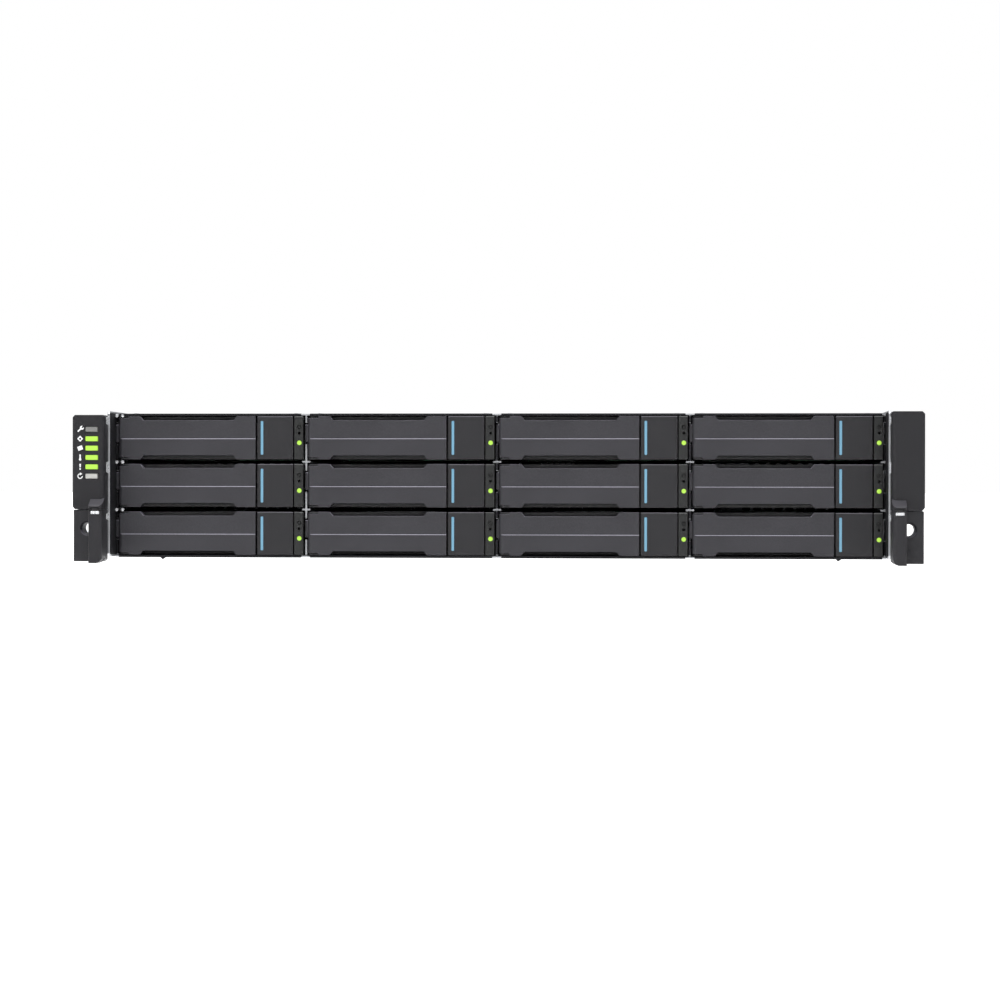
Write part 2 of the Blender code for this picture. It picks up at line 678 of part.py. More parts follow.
# ---------------------------------------------------------------- power supplies
SUPPLY_X = 177.5
SUPPLY_HALF = 42.4
SUPPLY_LOW = 4.6
SUPPLY_HIGH = 84.4
SUPPLY_FRONT = EAR_FACE + 240.0
FAN_X = -15.0
FAN_Z = 56.0
FAN_RADIUS = 25.0
REAR_SKIN = 1.5
GUARD_HALF = 0.8
GUARD_INNER = 14.0
GUARD_OUTER = 15.5
ROTOR_RADIUS = 23.0
ROTOR_BACK = REAR_FACE - 4.5
ROTOR_DEPTH = 12.0
HUB_RADIUS = 9.0
BLADES = 7
BLADE_CHORD = 11.2
BLADE_THICK = 1.2
BLADE_PITCH = 38.0
INLET_X = 26.0
INLET_Z = 68.0
INLET_WIDTH = 24.0
INLET_HEIGHT = 16.5
INLET_DEPTH = 14.0
INLET_FRAME = 1.6
INLET_PROUD = 1.2
BAIL_HALF = 36.0
BAIL_Y = REAR_FACE + 3.6
BAIL_Z = 27.0
BAIL_DROP = 17.0
BAIL_BEND = 5.0
BAIL_RADIUS = 2.0
LATCH_X = 26.0
LATCH_Z = 36.0


def inlet_box(margin, depth, proud):
    """A box around the mains inlet, a margin wider than its opening on every side."""
    half_width = INLET_WIDTH / 2 + margin
    half_height = INLET_HEIGHT / 2 + margin
    low = (INLET_X - half_width, REAR_FACE - depth, INLET_Z - half_height)
    return box(low, (INLET_X + half_width, REAR_FACE + proud, INLET_Z + half_height))


def guard_shapes():
    """The fan guard in a power supply's rear plate: two crossed bars with one ring on them."""
    front = REAR_FACE - REAR_SKIN
    back = REAR_FACE - SINK
    bars = []
    for half_x, half_z in ((FAN_RADIUS + 1.0, GUARD_HALF), (GUARD_HALF, FAN_RADIUS + 1.0)):
        low = (FAN_X - half_x, front, FAN_Z - half_z)
        bars.append(box(low, (FAN_X + half_x, back, FAN_Z + half_z)))
    return [*bars, ring((FAN_X, FAN_Z), GUARD_INNER, GUARD_OUTER, front, back)]


def ring(centre, inner, outer, front, back, sides=20):
    """A flat ring around the Y axis through its centre."""
    x, z = centre
    mesh = fused(
        "ring",
        [cylinder((x, front, z), (0, 1, 0), back - front, outer, sides=sides)],
        [cylinder((x, front - 1.0, z), (0, 1, 0), back - front + 2.0, inner, sides=sides)],
    )
    return keep_as_tool(mesh)


def supply_mesh():
    """A power supply's case, open where the air goes in and behind its fan guard."""
    half = SUPPLY_HALF
    case = box((-half, SUPPLY_FRONT, SUPPLY_LOW), (half, REAR_FACE, SUPPLY_HIGH))
    hollow = box(
        (-half + SHEET, SUPPLY_FRONT + SHEET, SUPPLY_LOW + SHEET),
        (half - SHEET, REAR_FACE - REAR_SKIN, SUPPLY_HIGH - SHEET),
    )
    intake = box((-30.0, SUPPLY_FRONT - 1.0, 30.0), (30.0, SUPPLY_FRONT + 2.0, 76.0))
    outlet = cylinder((FAN_X, REAR_FACE - 3.0, FAN_Z), (0, 1, 0), 5.0, FAN_RADIUS, sides=28)
    shell = keep_as_tool(fused("case", [case], [hollow, intake, outlet]))
    inlet = inlet_box(INLET_FRAME, INLET_DEPTH + REAR_SKIN, INLET_PROUD)
    socket = inlet_box(0.0, INLET_DEPTH, INLET_PROUD + 1.0)
    edge_card = box((-20.0, SUPPLY_FRONT - 6.0, 14.0), (20.0, SUPPLY_FRONT + SINK, 15.6))
    spindle_front = ROTOR_BACK + GAP
    spindle_length = REAR_FACE - REAR_SKIN / 2 - spindle_front
    spindle = cylinder((FAN_X, spindle_front, FAN_Z), (0, 1, 0), spindle_length, 5.0, sides=16)
    solids = [shell, inlet, edge_card, spindle, *guard_shapes()]
    lug = BAIL_HALF + BAIL_RADIUS + GAP
    lug_low = (lug, REAR_FACE - SINK, BAIL_Z - LUG_REACH)
    solids += mirrored_boxes(lug_low, (lug + 2.5, REAR_FACE + LUG_PROUD, BAIL_Z + LUG_REACH))
    return fused("power_supply", solids, [socket])


def rotor_mesh():
    """A fan's hub and blades, around the Y axis through the origin."""
    hub = cylinder((0.0, -ROTOR_DEPTH, 0.0), (0, 1, 0), ROTOR_DEPTH, HUB_RADIUS, sides=21)
    blades = []
    for number in range(BLADES):
        blade_low = (HUB_RADIUS - 1.0, -BLADE_CHORD / 2, -BLADE_THICK / 2)
        blade = box(blade_low, (ROTOR_RADIUS, BLADE_CHORD / 2, BLADE_THICK / 2))
        pitch = Matrix.Rotation(radians(BLADE_PITCH), 4, "X")
        around = Matrix.Rotation(2 * pi * number / BLADES, 4, "Y")
        middle = Matrix.Translation((0.0, -ROTOR_DEPTH / 2 * MM, 0.0))
        blade.data.transform(middle @ around @ pitch)
        blades.append(blade)
    return fused("fan_rotor", [hub, *blades])


def place_bail(name, origin):
    """A power supply's wire handle, hanging from its hinge axis, as a node of the unit."""
    steps = 3
    left_half = [(-BAIL_HALF, 0.0)]
    for step in range(steps + 1):
        angle = pi + pi / 2 * step / steps
        x = -BAIL_HALF + BAIL_BEND * (1.0 + cos(angle))
        left_half.append((x, -BAIL_DROP + BAIL_BEND * (1.0 + sin(angle))))
    route = left_half + [(-x, z) for x, z in reversed(left_half)]
    curve = bpy.data.curves.new(name, "CURVE")
    curve.dimensions = "3D"
    curve.bevel_depth = BAIL_RADIUS * MM
    curve.bevel_resolution = 2
    curve.use_fill_caps = True
    spline = curve.splines.new("POLY")
    spline.points.add(len(route) - 1)
    for point, (x, z) in zip(spline.points, route):
        point.co = (x * MM, 0.0, z * MM, 1.0)
    curve.materials.append(ZINC_STEEL)
    node = bpy.data.objects.new(name, curve)
    node.location = Vector(origin) * MM
    ASSEMBLY.objects.link(node)


def latch_mesh():
    """The sprung tab that frees a power supply when it is pushed sideways."""
    tab = box((-7.0, 0.0, -3.5), (7.0, 5.5, 3.5))
    plate = box((-9.0, 0.0, -4.5), (9.0, 1.2, 4.5))
    return fused("supply_latch", [plate, tab])


def make_power_supplies():
    supply = supply_mesh()
    rotor = rotor_mesh()
    latch = latch_mesh()
    for name, side in (("left", -1), ("right", 1)):
        x = side * SUPPLY_X
        place(f"power_supply_{name}", supply, ZINC_STEEL, (x, 0.0, 0.0))
        place(f"fan_rotor_{name}", rotor, FAN_BLACK, (x + FAN_X, ROTOR_BACK, FAN_Z))
        place(f"supply_latch_{name}", latch, LATCH_BLUE, (x + LATCH_X, REAR_FACE + GAP, LATCH_Z))
        place_bail(f"supply_bail_{name}", (x, BAIL_Y, BAIL_Z))


# ---------------------------------------------------------------- the unit
make_bays()
make_chassis_base()
make_drive_cage()
make_top_cover()
make_midplane()
for ear, ear_side in (("left", -1), ("right", 1)):
    make_bracket(f"rack_bracket_{ear}", ear_side)
    make_ear_housing(f"ear_housing_{ear}", ear_side)
    make_ear_cover(f"ear_cover_{ear}", ear_side, COVER_TOP_Z[ear])
make_status_board()
make_service_button()
make_controllers()
make_power_supplies()
bpy.data.collections.remove(CUTTERS)
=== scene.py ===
"""A 2U rack storage unit: its visual pieces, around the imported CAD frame.

Sizes are in millimetres and the helpers turn them into metres. X runs to the right as seen from
the front, Y from the front to the back, Z up.
"""

import bmesh
import bpy
from math import cos, pi, radians, sin, tau
from mathutils import Matrix, Vector


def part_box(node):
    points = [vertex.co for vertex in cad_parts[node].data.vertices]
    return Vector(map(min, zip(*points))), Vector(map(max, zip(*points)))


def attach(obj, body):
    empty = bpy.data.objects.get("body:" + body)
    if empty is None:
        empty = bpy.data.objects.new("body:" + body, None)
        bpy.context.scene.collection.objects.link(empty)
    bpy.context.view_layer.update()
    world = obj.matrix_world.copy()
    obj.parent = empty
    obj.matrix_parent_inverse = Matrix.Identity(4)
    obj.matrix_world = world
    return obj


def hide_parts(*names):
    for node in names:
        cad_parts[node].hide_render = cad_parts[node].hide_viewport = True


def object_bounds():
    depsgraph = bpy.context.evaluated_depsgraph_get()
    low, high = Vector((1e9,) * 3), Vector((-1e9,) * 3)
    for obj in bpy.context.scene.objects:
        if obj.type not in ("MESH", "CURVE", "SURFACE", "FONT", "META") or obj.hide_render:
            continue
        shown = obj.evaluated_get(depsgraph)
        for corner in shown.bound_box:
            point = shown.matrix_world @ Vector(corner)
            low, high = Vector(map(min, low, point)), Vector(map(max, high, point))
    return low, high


MM = 0.001
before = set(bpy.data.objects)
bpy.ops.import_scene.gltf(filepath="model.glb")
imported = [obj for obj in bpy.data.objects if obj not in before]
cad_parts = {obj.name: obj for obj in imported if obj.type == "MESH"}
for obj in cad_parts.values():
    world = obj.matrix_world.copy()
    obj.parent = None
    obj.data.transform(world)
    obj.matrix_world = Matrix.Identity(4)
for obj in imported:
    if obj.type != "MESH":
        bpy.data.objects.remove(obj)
CAD_BOX = [list(corner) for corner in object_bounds()]
SCENE = bpy.context.scene
SIDES = (-1.0, 1.0)


def node_box(node):
    """A CAD node's lowest and highest corners in millimetres."""
    low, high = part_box(node)
    return Vector(low) / MM, Vector(high) / MM


# ---------------------------------------------------------------- materials
def nodes_for(material):
    tree = material.node_tree
    shader = tree.nodes["Principled BSDF"]

    def add(kind, **settings):
        node = tree.nodes.new(kind)
        for key, value in settings.items():
            setattr(node, key, value)
        return node

    return tree, shader, add


def scaled_coordinates(tree, add, size, stretch=(1.0, 1.0, 1.0)):
    """Object coordinates in units of a pattern's size in millimetres."""
    coordinates = add("ShaderNodeTexCoord")
    mapping = add("ShaderNodeMapping")
    mapping.inputs["Scale"].default_value = [1.0 / (size * MM * s) for s in stretch]
    tree.links.new(coordinates.outputs["Object"], mapping.inputs["Vector"])
    return mapping.outputs["Vector"]


def noise(tree, add, size, detail=2.0, stretch=(1.0, 1.0, 1.0)):
    texture = add("ShaderNodeTexNoise")
    texture.inputs["Scale"].default_value = 1.0
    texture.inputs["Detail"].default_value = detail
    tree.links.new(scaled_coordinates(tree, add, size, stretch), texture.inputs["Vector"])
    return texture.outputs["Fac"]


def remapped(tree, add, value, low, high, spread=(0.3, 0.7)):
    """A value from a texture, moved to a range of its own."""
    node = add("ShaderNodeMapRange")
    tree.links.new(value, node.inputs["Value"])
    for key, number in zip(("From Min", "From Max", "To Min", "To Max"), (*spread, low, high)):
        node.inputs[key].default_value = number
    return node.outputs["Result"]


def shaded(tree, add, color, factors):
    """A colour made lighter and darker by one or more values around 1."""
    result = None
    for factor in factors:
        node = add("ShaderNodeVectorMath", operation="SCALE")
        if result is None:
            node.inputs[0].default_value = color
        else:
            tree.links.new(result, node.inputs[0])
        tree.links.new(factor, node.inputs["Scale"])
        result = node.outputs["Vector"]
    return result


def bumped(tree, add, shader, height, depth):
    """Relief of a depth in millimetres, from a height between 0 and 1."""
    bump = add("ShaderNodeBump")
    bump.inputs["Distance"].default_value = depth * MM
    tree.links.new(height, bump.inputs["Height"])
    tree.links.new(bump.outputs["Normal"], shader.inputs["Normal"])


def basic(name, color, roughness, metallic, specular):
    material = bpy.data.materials.new(name)
    material.use_nodes = True
    tree, shader, add = nodes_for(material)
    shader.inputs["Base Color"].default_value = (*color, 1.0)
    shader.inputs["Roughness"].default_value = roughness
    shader.inputs["Metallic"].default_value = metallic
    shader.inputs["Specular IOR Level"].default_value = specular
    return material, tree, shader, add


def painted_edge_highlight(tree, add, gain):
    """Factors that paint a highlight into the colour of the rounded edges which face up and forward, up to
    gain times lighter; faces that point straight up or forward keep their colour.
    """
    geometry = add("ShaderNodeNewGeometry")
    split = add("ShaderNodeSeparateXYZ")
    tree.links.new(geometry.outputs["Normal"], split.inputs["Vector"])
    rise = remapped(tree, add, split.outputs["Z"], 1.0, gain, (0.08, 0.32))
    fall = remapped(tree, add, split.outputs["Z"], 1.0, 1.0 / gain, (0.94, 0.99))
    return [rise, fall]


def plastic(name, color, roughness=0.5, grain=0.55, grain_tint=0.10, mottle=28.0, mottle_tint=0.05,
            relief=0.025, specular=0.5, edge_highlight_gain=1.0):
    """Moulded plastic: a spark-eroded grain, and slow changes of tone over the moulding; with an edge gain
    above 1, a painted highlight on its up-facing rounded edges.
    """
    material, tree, shader, add = basic(name, color, roughness, 0.0, specular)
    fine = noise(tree, add, grain, 3.0)
    broad = noise(tree, add, mottle, 2.0)
    factors = [
        remapped(tree, add, fine, 1.0 - grain_tint, 1.0 + grain_tint),
        remapped(tree, add, broad, 1.0 - mottle_tint, 1.0 + mottle_tint),
    ]
    # Painted highlight: the edge gain lightens the colour of up-facing rounded edges, in place of light
    # caught on them.
    if edge_highlight_gain > 1.0:
        factors += painted_edge_highlight(tree, add, edge_highlight_gain)
    tree.links.new(shaded(tree, add, color, factors), shader.inputs["Base Color"])
    gloss = remapped(tree, add, broad, roughness - 0.05, roughness + 0.07)
    tree.links.new(gloss, shader.inputs["Roughness"])
    bumped(tree, add, shader, fine, relief)
    return material


def zinc(name, color, roughness=0.33, spangle=5.0, tint=0.07, stretch=(7.0, 1.0, 1.0), metallic=1.0):
    """Zinc-plated sheet: faint crystals, and the fine lines of rolling."""
    material, tree, shader, add = basic(name, color, roughness, metallic, 0.5)
    cells = add("ShaderNodeTexVoronoi")
    cells.inputs["Scale"].default_value = 1.0
    tree.links.new(scaled_coordinates(tree, add, spangle), cells.inputs["Vector"])
    split = add("ShaderNodeSeparateColor")
    tree.links.new(cells.outputs["Color"], split.inputs["Color"])
    rolled = noise(tree, add, 0.8, 3.0, stretch)
    worn = noise(tree, add, 55.0, 4.0)
    factors = [
        remapped(tree, add, split.outputs["Red"], 1.0 - tint, 1.0 + tint, (0.0, 1.0)),
        remapped(tree, add, rolled, 1.0 - tint / 2, 1.0 + tint / 2),
        remapped(tree, add, worn, 1.0 - tint / 2, 1.0 + tint / 2),
    ]
    tree.links.new(shaded(tree, add, color, factors), shader.inputs["Base Color"])
    sheen = remapped(tree, add, split.outputs["Green"], roughness - 0.03, roughness + 0.04, (0.0, 1.0))
    tree.links.new(sheen, shader.inputs["Roughness"])
    bumped(tree, add, shader, rolled, 0.010)
    return material


def cast_metal(name, color, roughness=0.42, grain=0.9):
    """Blasted die casting."""
    material, tree, shader, add = basic(name, color, roughness, 1.0, 0.5)
    fine = noise(tree, add, grain, 4.0)
    broad = noise(tree, add, 30.0, 2.0)
    factors = [remapped(tree, add, fine, 0.92, 1.06), remapped(tree, add, broad, 0.95, 1.04)]
    tree.links.new(shaded(tree, add, color, factors), shader.inputs["Base Color"])
    gloss = remapped(tree, add, broad, roughness - 0.05, roughness + 0.08)
    tree.links.new(gloss, shader.inputs["Roughness"])
    bumped(tree, add, shader, fine, 0.04)
    return material


def circuit_board(name, color, track_color):
    """Solder mask over copper: tracks that run in two directions, with bare patches between them."""
    material, tree, shader, add = basic(name, color, 0.35, 0.0, 0.5)
    bricks = add("ShaderNodeTexBrick")
    bricks.inputs["Scale"].default_value = 1.0
    bricks.inputs["Mortar Size"].default_value = 0.11
    bricks.inputs["Brick Width"].default_value = 3.7
    bricks.inputs["Row Height"].default_value = 0.55
    tree.links.new(scaled_coordinates(tree, add, 3.4), bricks.inputs["Vector"])
    broad = noise(tree, add, 9.0, 1.0)
    mix = add("ShaderNodeMix", data_type="RGBA")
    tree.links.new(remapped(tree, add, broad, 0.0, 1.0, (0.45, 0.55)), mix.inputs["Factor"])
    mix.inputs["A"].default_value = (*color, 1.0)
    tree.links.new(bricks.outputs["Color"], mix.inputs["B"])
    bricks.inputs["Color1"].default_value = (*color, 1.0)
    bricks.inputs["Color2"].default_value = tuple(c * 0.85 for c in color) + (1.0,)
    bricks.inputs["Mortar"].default_value = (*track_color, 1.0)
    tree.links.new(mix.outputs["Result"], shader.inputs["Base Color"])
    bumped(tree, add, shader, bricks.outputs["Fac"], 0.03)
    return material


def plain_grained(name, color, roughness, metallic=0.0, grain=0.6, relief=0.01, specular=0.5):
    """One colour, with a fine relief and uneven gloss, for small parts."""
    material, tree, shader, add = basic(name, color, roughness, metallic, specular)
    fine = noise(tree, add, grain, 3.0)
    gloss = remapped(tree, add, fine, roughness - 0.05, roughness + 0.08)
    tree.links.new(gloss, shader.inputs["Roughness"])
    bumped(tree, add, shader, fine, relief)
    return material


def lamp(name, color, glow, strength, roughness=0.25):
    """A lens that glows: a lit lamp's lens, or a mark given a faint painted glow though it is no lamp."""
    material, tree, shader, add = basic(name, color, roughness, 0.0, 0.5)
    shader.inputs["Emission Color"].default_value = (*glow, 1.0)
    shader.inputs["Emission Strength"].default_value = strength
    bumped(tree, add, shader, noise(tree, add, 0.5, 2.0), 0.008)
    return material


def floor_material(name, color, glow):
    """A pale, evenly lit floor."""
    material, _, shader, _ = basic(name, color, 0.9, 0.0, 0.0)
    shader.inputs["Emission Color"].default_value = (1.0, 1.0, 1.0, 1.0)
    shader.inputs["Emission Strength"].default_value = glow
    return material


# The edge gain on these plastics paints highlights into the colour of their up-facing rounded edges.
BEZEL_BLACK = plastic(
    "bezel_black", (0.0295, 0.0285, 0.0340), grain_tint=0.20, mottle_tint=0.10, specular=0.42, edge_highlight_gain=10.0
)
BUTTON_BLACK = plastic(
    "button_black", (0.0165, 0.0160, 0.0185), 0.48, grain=0.5, specular=0.38, edge_highlight_gain=10.0
)
STRIP_BLACK = plastic("strip_black", (0.016, 0.0165, 0.0165), grain=0.5, specular=0.38, edge_highlight_gain=10.0)
HOUSING_BLACK = plastic(
    "housing_black", (0.0165, 0.0160, 0.0190), 0.48, grain=0.5, grain_tint=0.12, specular=0.38, edge_highlight_gain=4.0
)
CARRIER_BLACK = plastic("carrier_black", (0.038, 0.038, 0.041), 0.52, grain=0.5)
EAR_BLACK = plastic(
    "ear_black", (0.0125, 0.0120, 0.0145), grain=0.5, grain_tint=0.12, specular=0.36, edge_highlight_gain=3.0
)
TRIM_BLACK = plain_grained("trim_black", (0.008, 0.008, 0.010), 0.60, specular=0.25)
RUBBER_BLACK = plastic("rubber_black", (0.018, 0.018, 0.019), 0.70, grain=0.8, relief=0.04, specular=0.3)
DEEP_BLACK = plain_grained("deep_black", (0.012, 0.012, 0.013), 0.55)
HANDLE_BLACK = plastic("handle_black", (0.030, 0.030, 0.031), 0.45, grain=0.5)
FAN_BLACK = plain_grained("fan_black", (0.022, 0.022, 0.023), 0.42)
KEY_GREY = plain_grained("key_grey", (0.46, 0.46, 0.44), 0.40)
LENS_OFF = plain_grained("lens_off", (0.20, 0.20, 0.195), 0.35)
# Painted glow: the blue mark on the release button is no lamp, but its material emits a little light.
GLOWING_MARK_BLUE = lamp("mark_blue", (0.15, 0.33, 0.46), (0.30, 0.60, 0.80), 0.05, 0.30)
LENS_GREEN = lamp("lens_green", (0.22, 0.38, 0.05), (0.42, 0.74, 0.06), 0.66)
ZINC_STEEL = zinc("zinc_steel", (0.50, 0.51, 0.53), 0.38, spangle=4.0, tint=0.08, metallic=0.82)
COVER_STEEL = zinc("cover_steel", (0.40, 0.41, 0.43), 0.44, spangle=4.5, tint=0.08, metallic=0.88)
BRIGHT_STEEL = plain_grained("bright_steel", (0.78, 0.79, 0.81), 0.28, 0.55)
SCREW_STEEL = plain_grained("screw_steel", (0.46, 0.47, 0.49), 0.30, 1.0)
DRIVE_ALLOY = cast_metal("drive_alloy", (0.50, 0.51, 0.52))
LID_STEEL = zinc("lid_steel", (0.60, 0.61, 0.62), 0.28, spangle=60.0, tint=0.03, stretch=(1.0, 14.0, 1.0))
HEAT_ALLOY = plain_grained("heat_alloy", (0.58, 0.59, 0.61), 0.34, 1.0)
BOARD_GREEN = circuit_board("board_green", (0.012, 0.066, 0.031), (0.045, 0.22, 0.10))
CHIP_BLACK = plain_grained("chip_black", (0.020, 0.020, 0.022), 0.45)
PART_TAN = plain_grained("part_tan", (0.30, 0.22, 0.13), 0.45)
CONTACT_BRASS = plain_grained("contact_brass", (0.78, 0.60, 0.30), 0.28, 1.0)
LABEL_WHITE = plain_grained("label_white", (0.56, 0.56, 0.54), 0.50)
LABEL_GREY = plain_grained("label_grey", (0.32, 0.33, 0.34), 0.50)
INK_WHITE = plain_grained("ink_white", (0.82, 0.83, 0.84), 0.55)
LATCH_BLUE = plastic("latch_blue", (0.035, 0.135, 0.27), 0.42, grain=0.5)
FLOOR_WHITE = floor_material("floor_white", (0.80, 0.80, 0.80), 0.45)


# ---------------------------------------------------------------- solids, in millimetres
def merged(bm, name):
    """A new object from a bmesh, which is freed."""
    mesh = bpy.data.meshes.new(name)
    bm.to_mesh(mesh)
    bm.free()
    solid = bpy.data.objects.new(name, mesh)
    SCENE.collection.objects.link(solid)
    return solid


def solid_from(bm):
    bmesh.ops.recalc_face_normals(bm, faces=bm.faces)
    return merged(bm, "solid")


def drop(*solids):
    for solid in solids:
        mesh = solid.data
        bpy.data.objects.remove(solid)
        bpy.data.meshes.remove(mesh)


def applied(solid):
    """The same solid with its modifiers made real."""
    graph = bpy.context.evaluated_depsgraph_get()
    mesh = bpy.data.meshes.new_from_object(solid.evaluated_get(graph))
    old = solid.data
    solid.modifiers.clear()
    solid.data = mesh
    bpy.data.meshes.remove(old)
    return solid


def bevelled(solid, width, segments=2, angle=35.0):
    modifier = solid.modifiers.new("Bevel", "BEVEL")
    modifier.width = width
    modifier.segments = segments
    modifier.limit_method = "ANGLE"
    modifier.angle_limit = radians(angle)
    modifier.use_clamp_overlap = True
    return applied(solid)


def block(low, high, bevel=0.0, segments=2):
    low, high = Vector(low), Vector(high)
    bm = bmesh.new()
    place = Matrix.Translation((low + high) / 2) @ Matrix.Diagonal((*(high - low), 1.0))
    bmesh.ops.create_cube(bm, size=1.0, matrix=place)
    solid = solid_from(bm)
    return bevelled(solid, bevel, segments) if bevel else solid


ORDER = {"XY": (0, 1, 2), "XZ": (0, 2, 1), "YZ": (1, 2, 0)}


def prism(outline, plane, low, high, bevel=0.0, segments=2, angle=35.0):
    """A flat outline in one plane, made thick along the third axis."""
    first, second, third = ORDER[plane]
    bm = bmesh.new()
    rings = []
    for depth in (low, high):
        ring = []
        for u, v in outline:
            point = [0.0, 0.0, 0.0]
            point[first], point[second], point[third] = u, v, depth
            ring.append(bm.verts.new(point))
        rings.append(ring)
    count = len(outline)
    for index in range(count):
        after = (index + 1) % count
        bm.faces.new((rings[0][index], rings[0][after], rings[1][after], rings[1][index]))
    bm.faces.new(rings[0])
    bm.faces.new(rings[1])
    solid = solid_from(bm)
    return bevelled(solid, bevel, segments, angle) if bevel else solid


TURNS = {
    "X": Matrix(((0, 0, 1), (1, 0, 0), (0, 1, 0))),
    "Y": Matrix(((0, 1, 0), (0, 0, 1), (1, 0, 0))),
    "Z": Matrix.Identity(3),
}


def turned(profile, axis="Z", at=(0.0, 0.0, 0.0), sides=24, lobes=0, lobe_depth=0.15):
    """A shape turned about an axis from (radius, height) points; a third number makes it lobed."""
    turn = TURNS[axis].to_4x4()
    bm = bmesh.new()
    rings = []
    for radius, height, *lobed in profile:
        if radius == 0.0:
            rings.append([bm.verts.new((0.0, 0.0, height))])
            continue
        ring = []
        for step in range(sides):
            angle = tau * step / sides
            reach = radius * (1.0 + lobe_depth * cos(lobes * angle)) if lobed else radius
            ring.append(bm.verts.new((reach * cos(angle), reach * sin(angle), height)))
        rings.append(ring)
    for near, far in zip(rings, rings[1:]):
        for step in range(sides):
            after = (step + 1) % sides
            corners = [near[step % len(near)], near[after % len(near)]]
            corners += [far[after % len(far)], far[step % len(far)]]
            corners = [corner for index, corner in enumerate(corners) if corner not in corners[:index]]
            if len(corners) > 2:
                bm.faces.new(corners)
    for ring, flip in ((rings[0], True), (rings[-1], False)):
        if len(ring) > 2 and profile[0] != profile[-1]:
            bm.faces.new(ring[::-1] if flip else ring)
    bmesh.ops.transform(bm, matrix=Matrix.Translation(at) @ turn, verts=bm.verts)
    return solid_from(bm)


def rod(start, axis, length, radius, sides=24, chamfer=0.0):
    profile = [(radius, 0.0), (radius, length)]
    if chamfer:
        profile = [(radius - chamfer, 0.0), (radius, chamfer), (radius, length - chamfer)]
        profile.append((radius - chamfer, length))
    return turned(profile, axis, start, sides)


def combined(operation, body, others):
    for other in others:
        modifier = body.modifiers.new("Boolean", "BOOLEAN")
        modifier.operation = operation
        modifier.solver = "EXACT"
        modifier.object = other
    applied(body)
    drop(*others)
    bm = bmesh.new()
    bm.from_mesh(body.data)
    bmesh.ops.remove_doubles(bm, verts=bm.verts, dist=0.002)
    bmesh.ops.dissolve_limit(bm, angle_limit=radians(0.3), verts=bm.verts, edges=bm.edges)
    bm.to_mesh(body.data)
    bm.free()
    return body


def cut(body, *cutters):
    return combined("DIFFERENCE", body, cutters)


def fused(body, *others):
    return combined("UNION", body, others)


def common(body, other):
    return combined("INTERSECT", body, [other])


def grouped(*solids):
    """Several separate solids as one."""
    bm = bmesh.new()
    for solid in solids:
        bm.from_mesh(solid.data)
    drop(*solids)
    return merged(bm, "group")


def copies(solid, places):
    """The same solid at several places, as one solid."""
    bm = bmesh.new()
    for matrix in places:
        mesh = solid.data.copy()
        mesh.transform(matrix)
        bm.from_mesh(mesh)
        bpy.data.meshes.remove(mesh)
    drop(solid)
    return merged(bm, "copies")


def mirrored(solid):
    """Turns a solid into its mirror image on the other side of X = 0."""
    bm = bmesh.new()
    bm.from_mesh(solid.data)
    bmesh.ops.transform(bm, matrix=Matrix.Diagonal((-1.0, 1.0, 1.0, 1.0)), verts=bm.verts)
    bmesh.ops.reverse_faces(bm, faces=bm.faces)
    bm.to_mesh(solid.data)
    bm.free()


def mesh_of(solid, material, smooth=32.0):
    """A finished mesh in metres, smooth over its small angles."""
    mesh = solid.data
    mesh.transform(Matrix.Scale(MM, 4))
    mesh.materials.clear()
    mesh.materials.append(material)
    for face in mesh.polygons:
        face.material_index = 0
    mesh.shade_smooth()
    mesh.set_sharp_from_angle(angle=radians(smooth))
    weighted = solid.modifiers.new("Weighted", "WEIGHTED_NORMAL")
    weighted.keep_sharp = True
    weighted.weight = 80
    mesh = applied(solid).data
    bpy.data.objects.remove(solid)
    return mesh


def put(name, mesh, body, at=(), replaces=()):
    """A finished piece that rides on a body."""
    piece = bpy.data.objects.new(name, mesh)
    piece.location = Vector(at or (0.0, 0.0, 0.0)) * MM
    SCENE.collection.objects.link(piece)
    bpy.context.view_layer.update()
    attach(piece, body)
    if replaces:
        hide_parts(*replaces)
    return piece


def add_piece(name, solid, material, body, at=(), replaces=()):
    put(name, mesh_of(solid, material), body, at, replaces)


def finished(pieces):
    """A table's pieces, with their solids made into meshes."""
    return [(name, mesh_of(solid, material), *rest) for name, solid, material, *rest in pieces]


def rounded(low, high, radius, steps=4):
    """A rectangle's outline with round corners."""
    (left, bottom), (right, top) = low, high
    points = []
    centres = (
        (right - radius, bottom + radius, -pi / 2),
        (right - radius, top - radius, 0.0),
        (left + radius, top - radius, pi / 2),
        (left + radius, bottom + radius, pi),
    )
    for x, y, start in centres:
        for step in range(steps + 1):
            angle = start + pi / 2 * step / steps
            points.append((x + radius * cos(angle), y + radius * sin(angle)))
    return points


def arc(centre, radius, start, end, steps):
    """Points on an arc between two angles in degrees."""
    points = []
    for step in range(steps + 1):
        angle = radians(start + (end - start) * step / steps)
        points.append((centre[0] + radius * cos(angle), centre[1] + radius * sin(angle)))
    return points


def slab(plane, low, high, radius, steps, start, end, *bevel):
    """A plate with round corners: a rectangle between two corners, made thick along the third axis."""
    return prism(rounded(low, high, radius, steps), plane, start, end, *bevel)


def cap(axis, at, radius, base, edge, rim, top, sides, crown=None):
    """A round cap: its side from base to edge, a chamfer in to its rim, and a flat or raised top."""
    middle = top if crown is None else crown
    return turned([(radius, base), (radius, edge), (rim, top), (0.0, middle)], axis, at, sides)


def hoop(axis, at, first, second, low, high, sides):
    """A square-edged ring between two radii."""
    profile = [(first, low), (first, high), (second, high), (second, low), (first, low)]
    return turned(profile, axis, at, sides)


def span(side, near, far):
    """Two distances from the middle as a left and a right X, on the side -1 or 1."""
    return sorted((side * near, side * far))


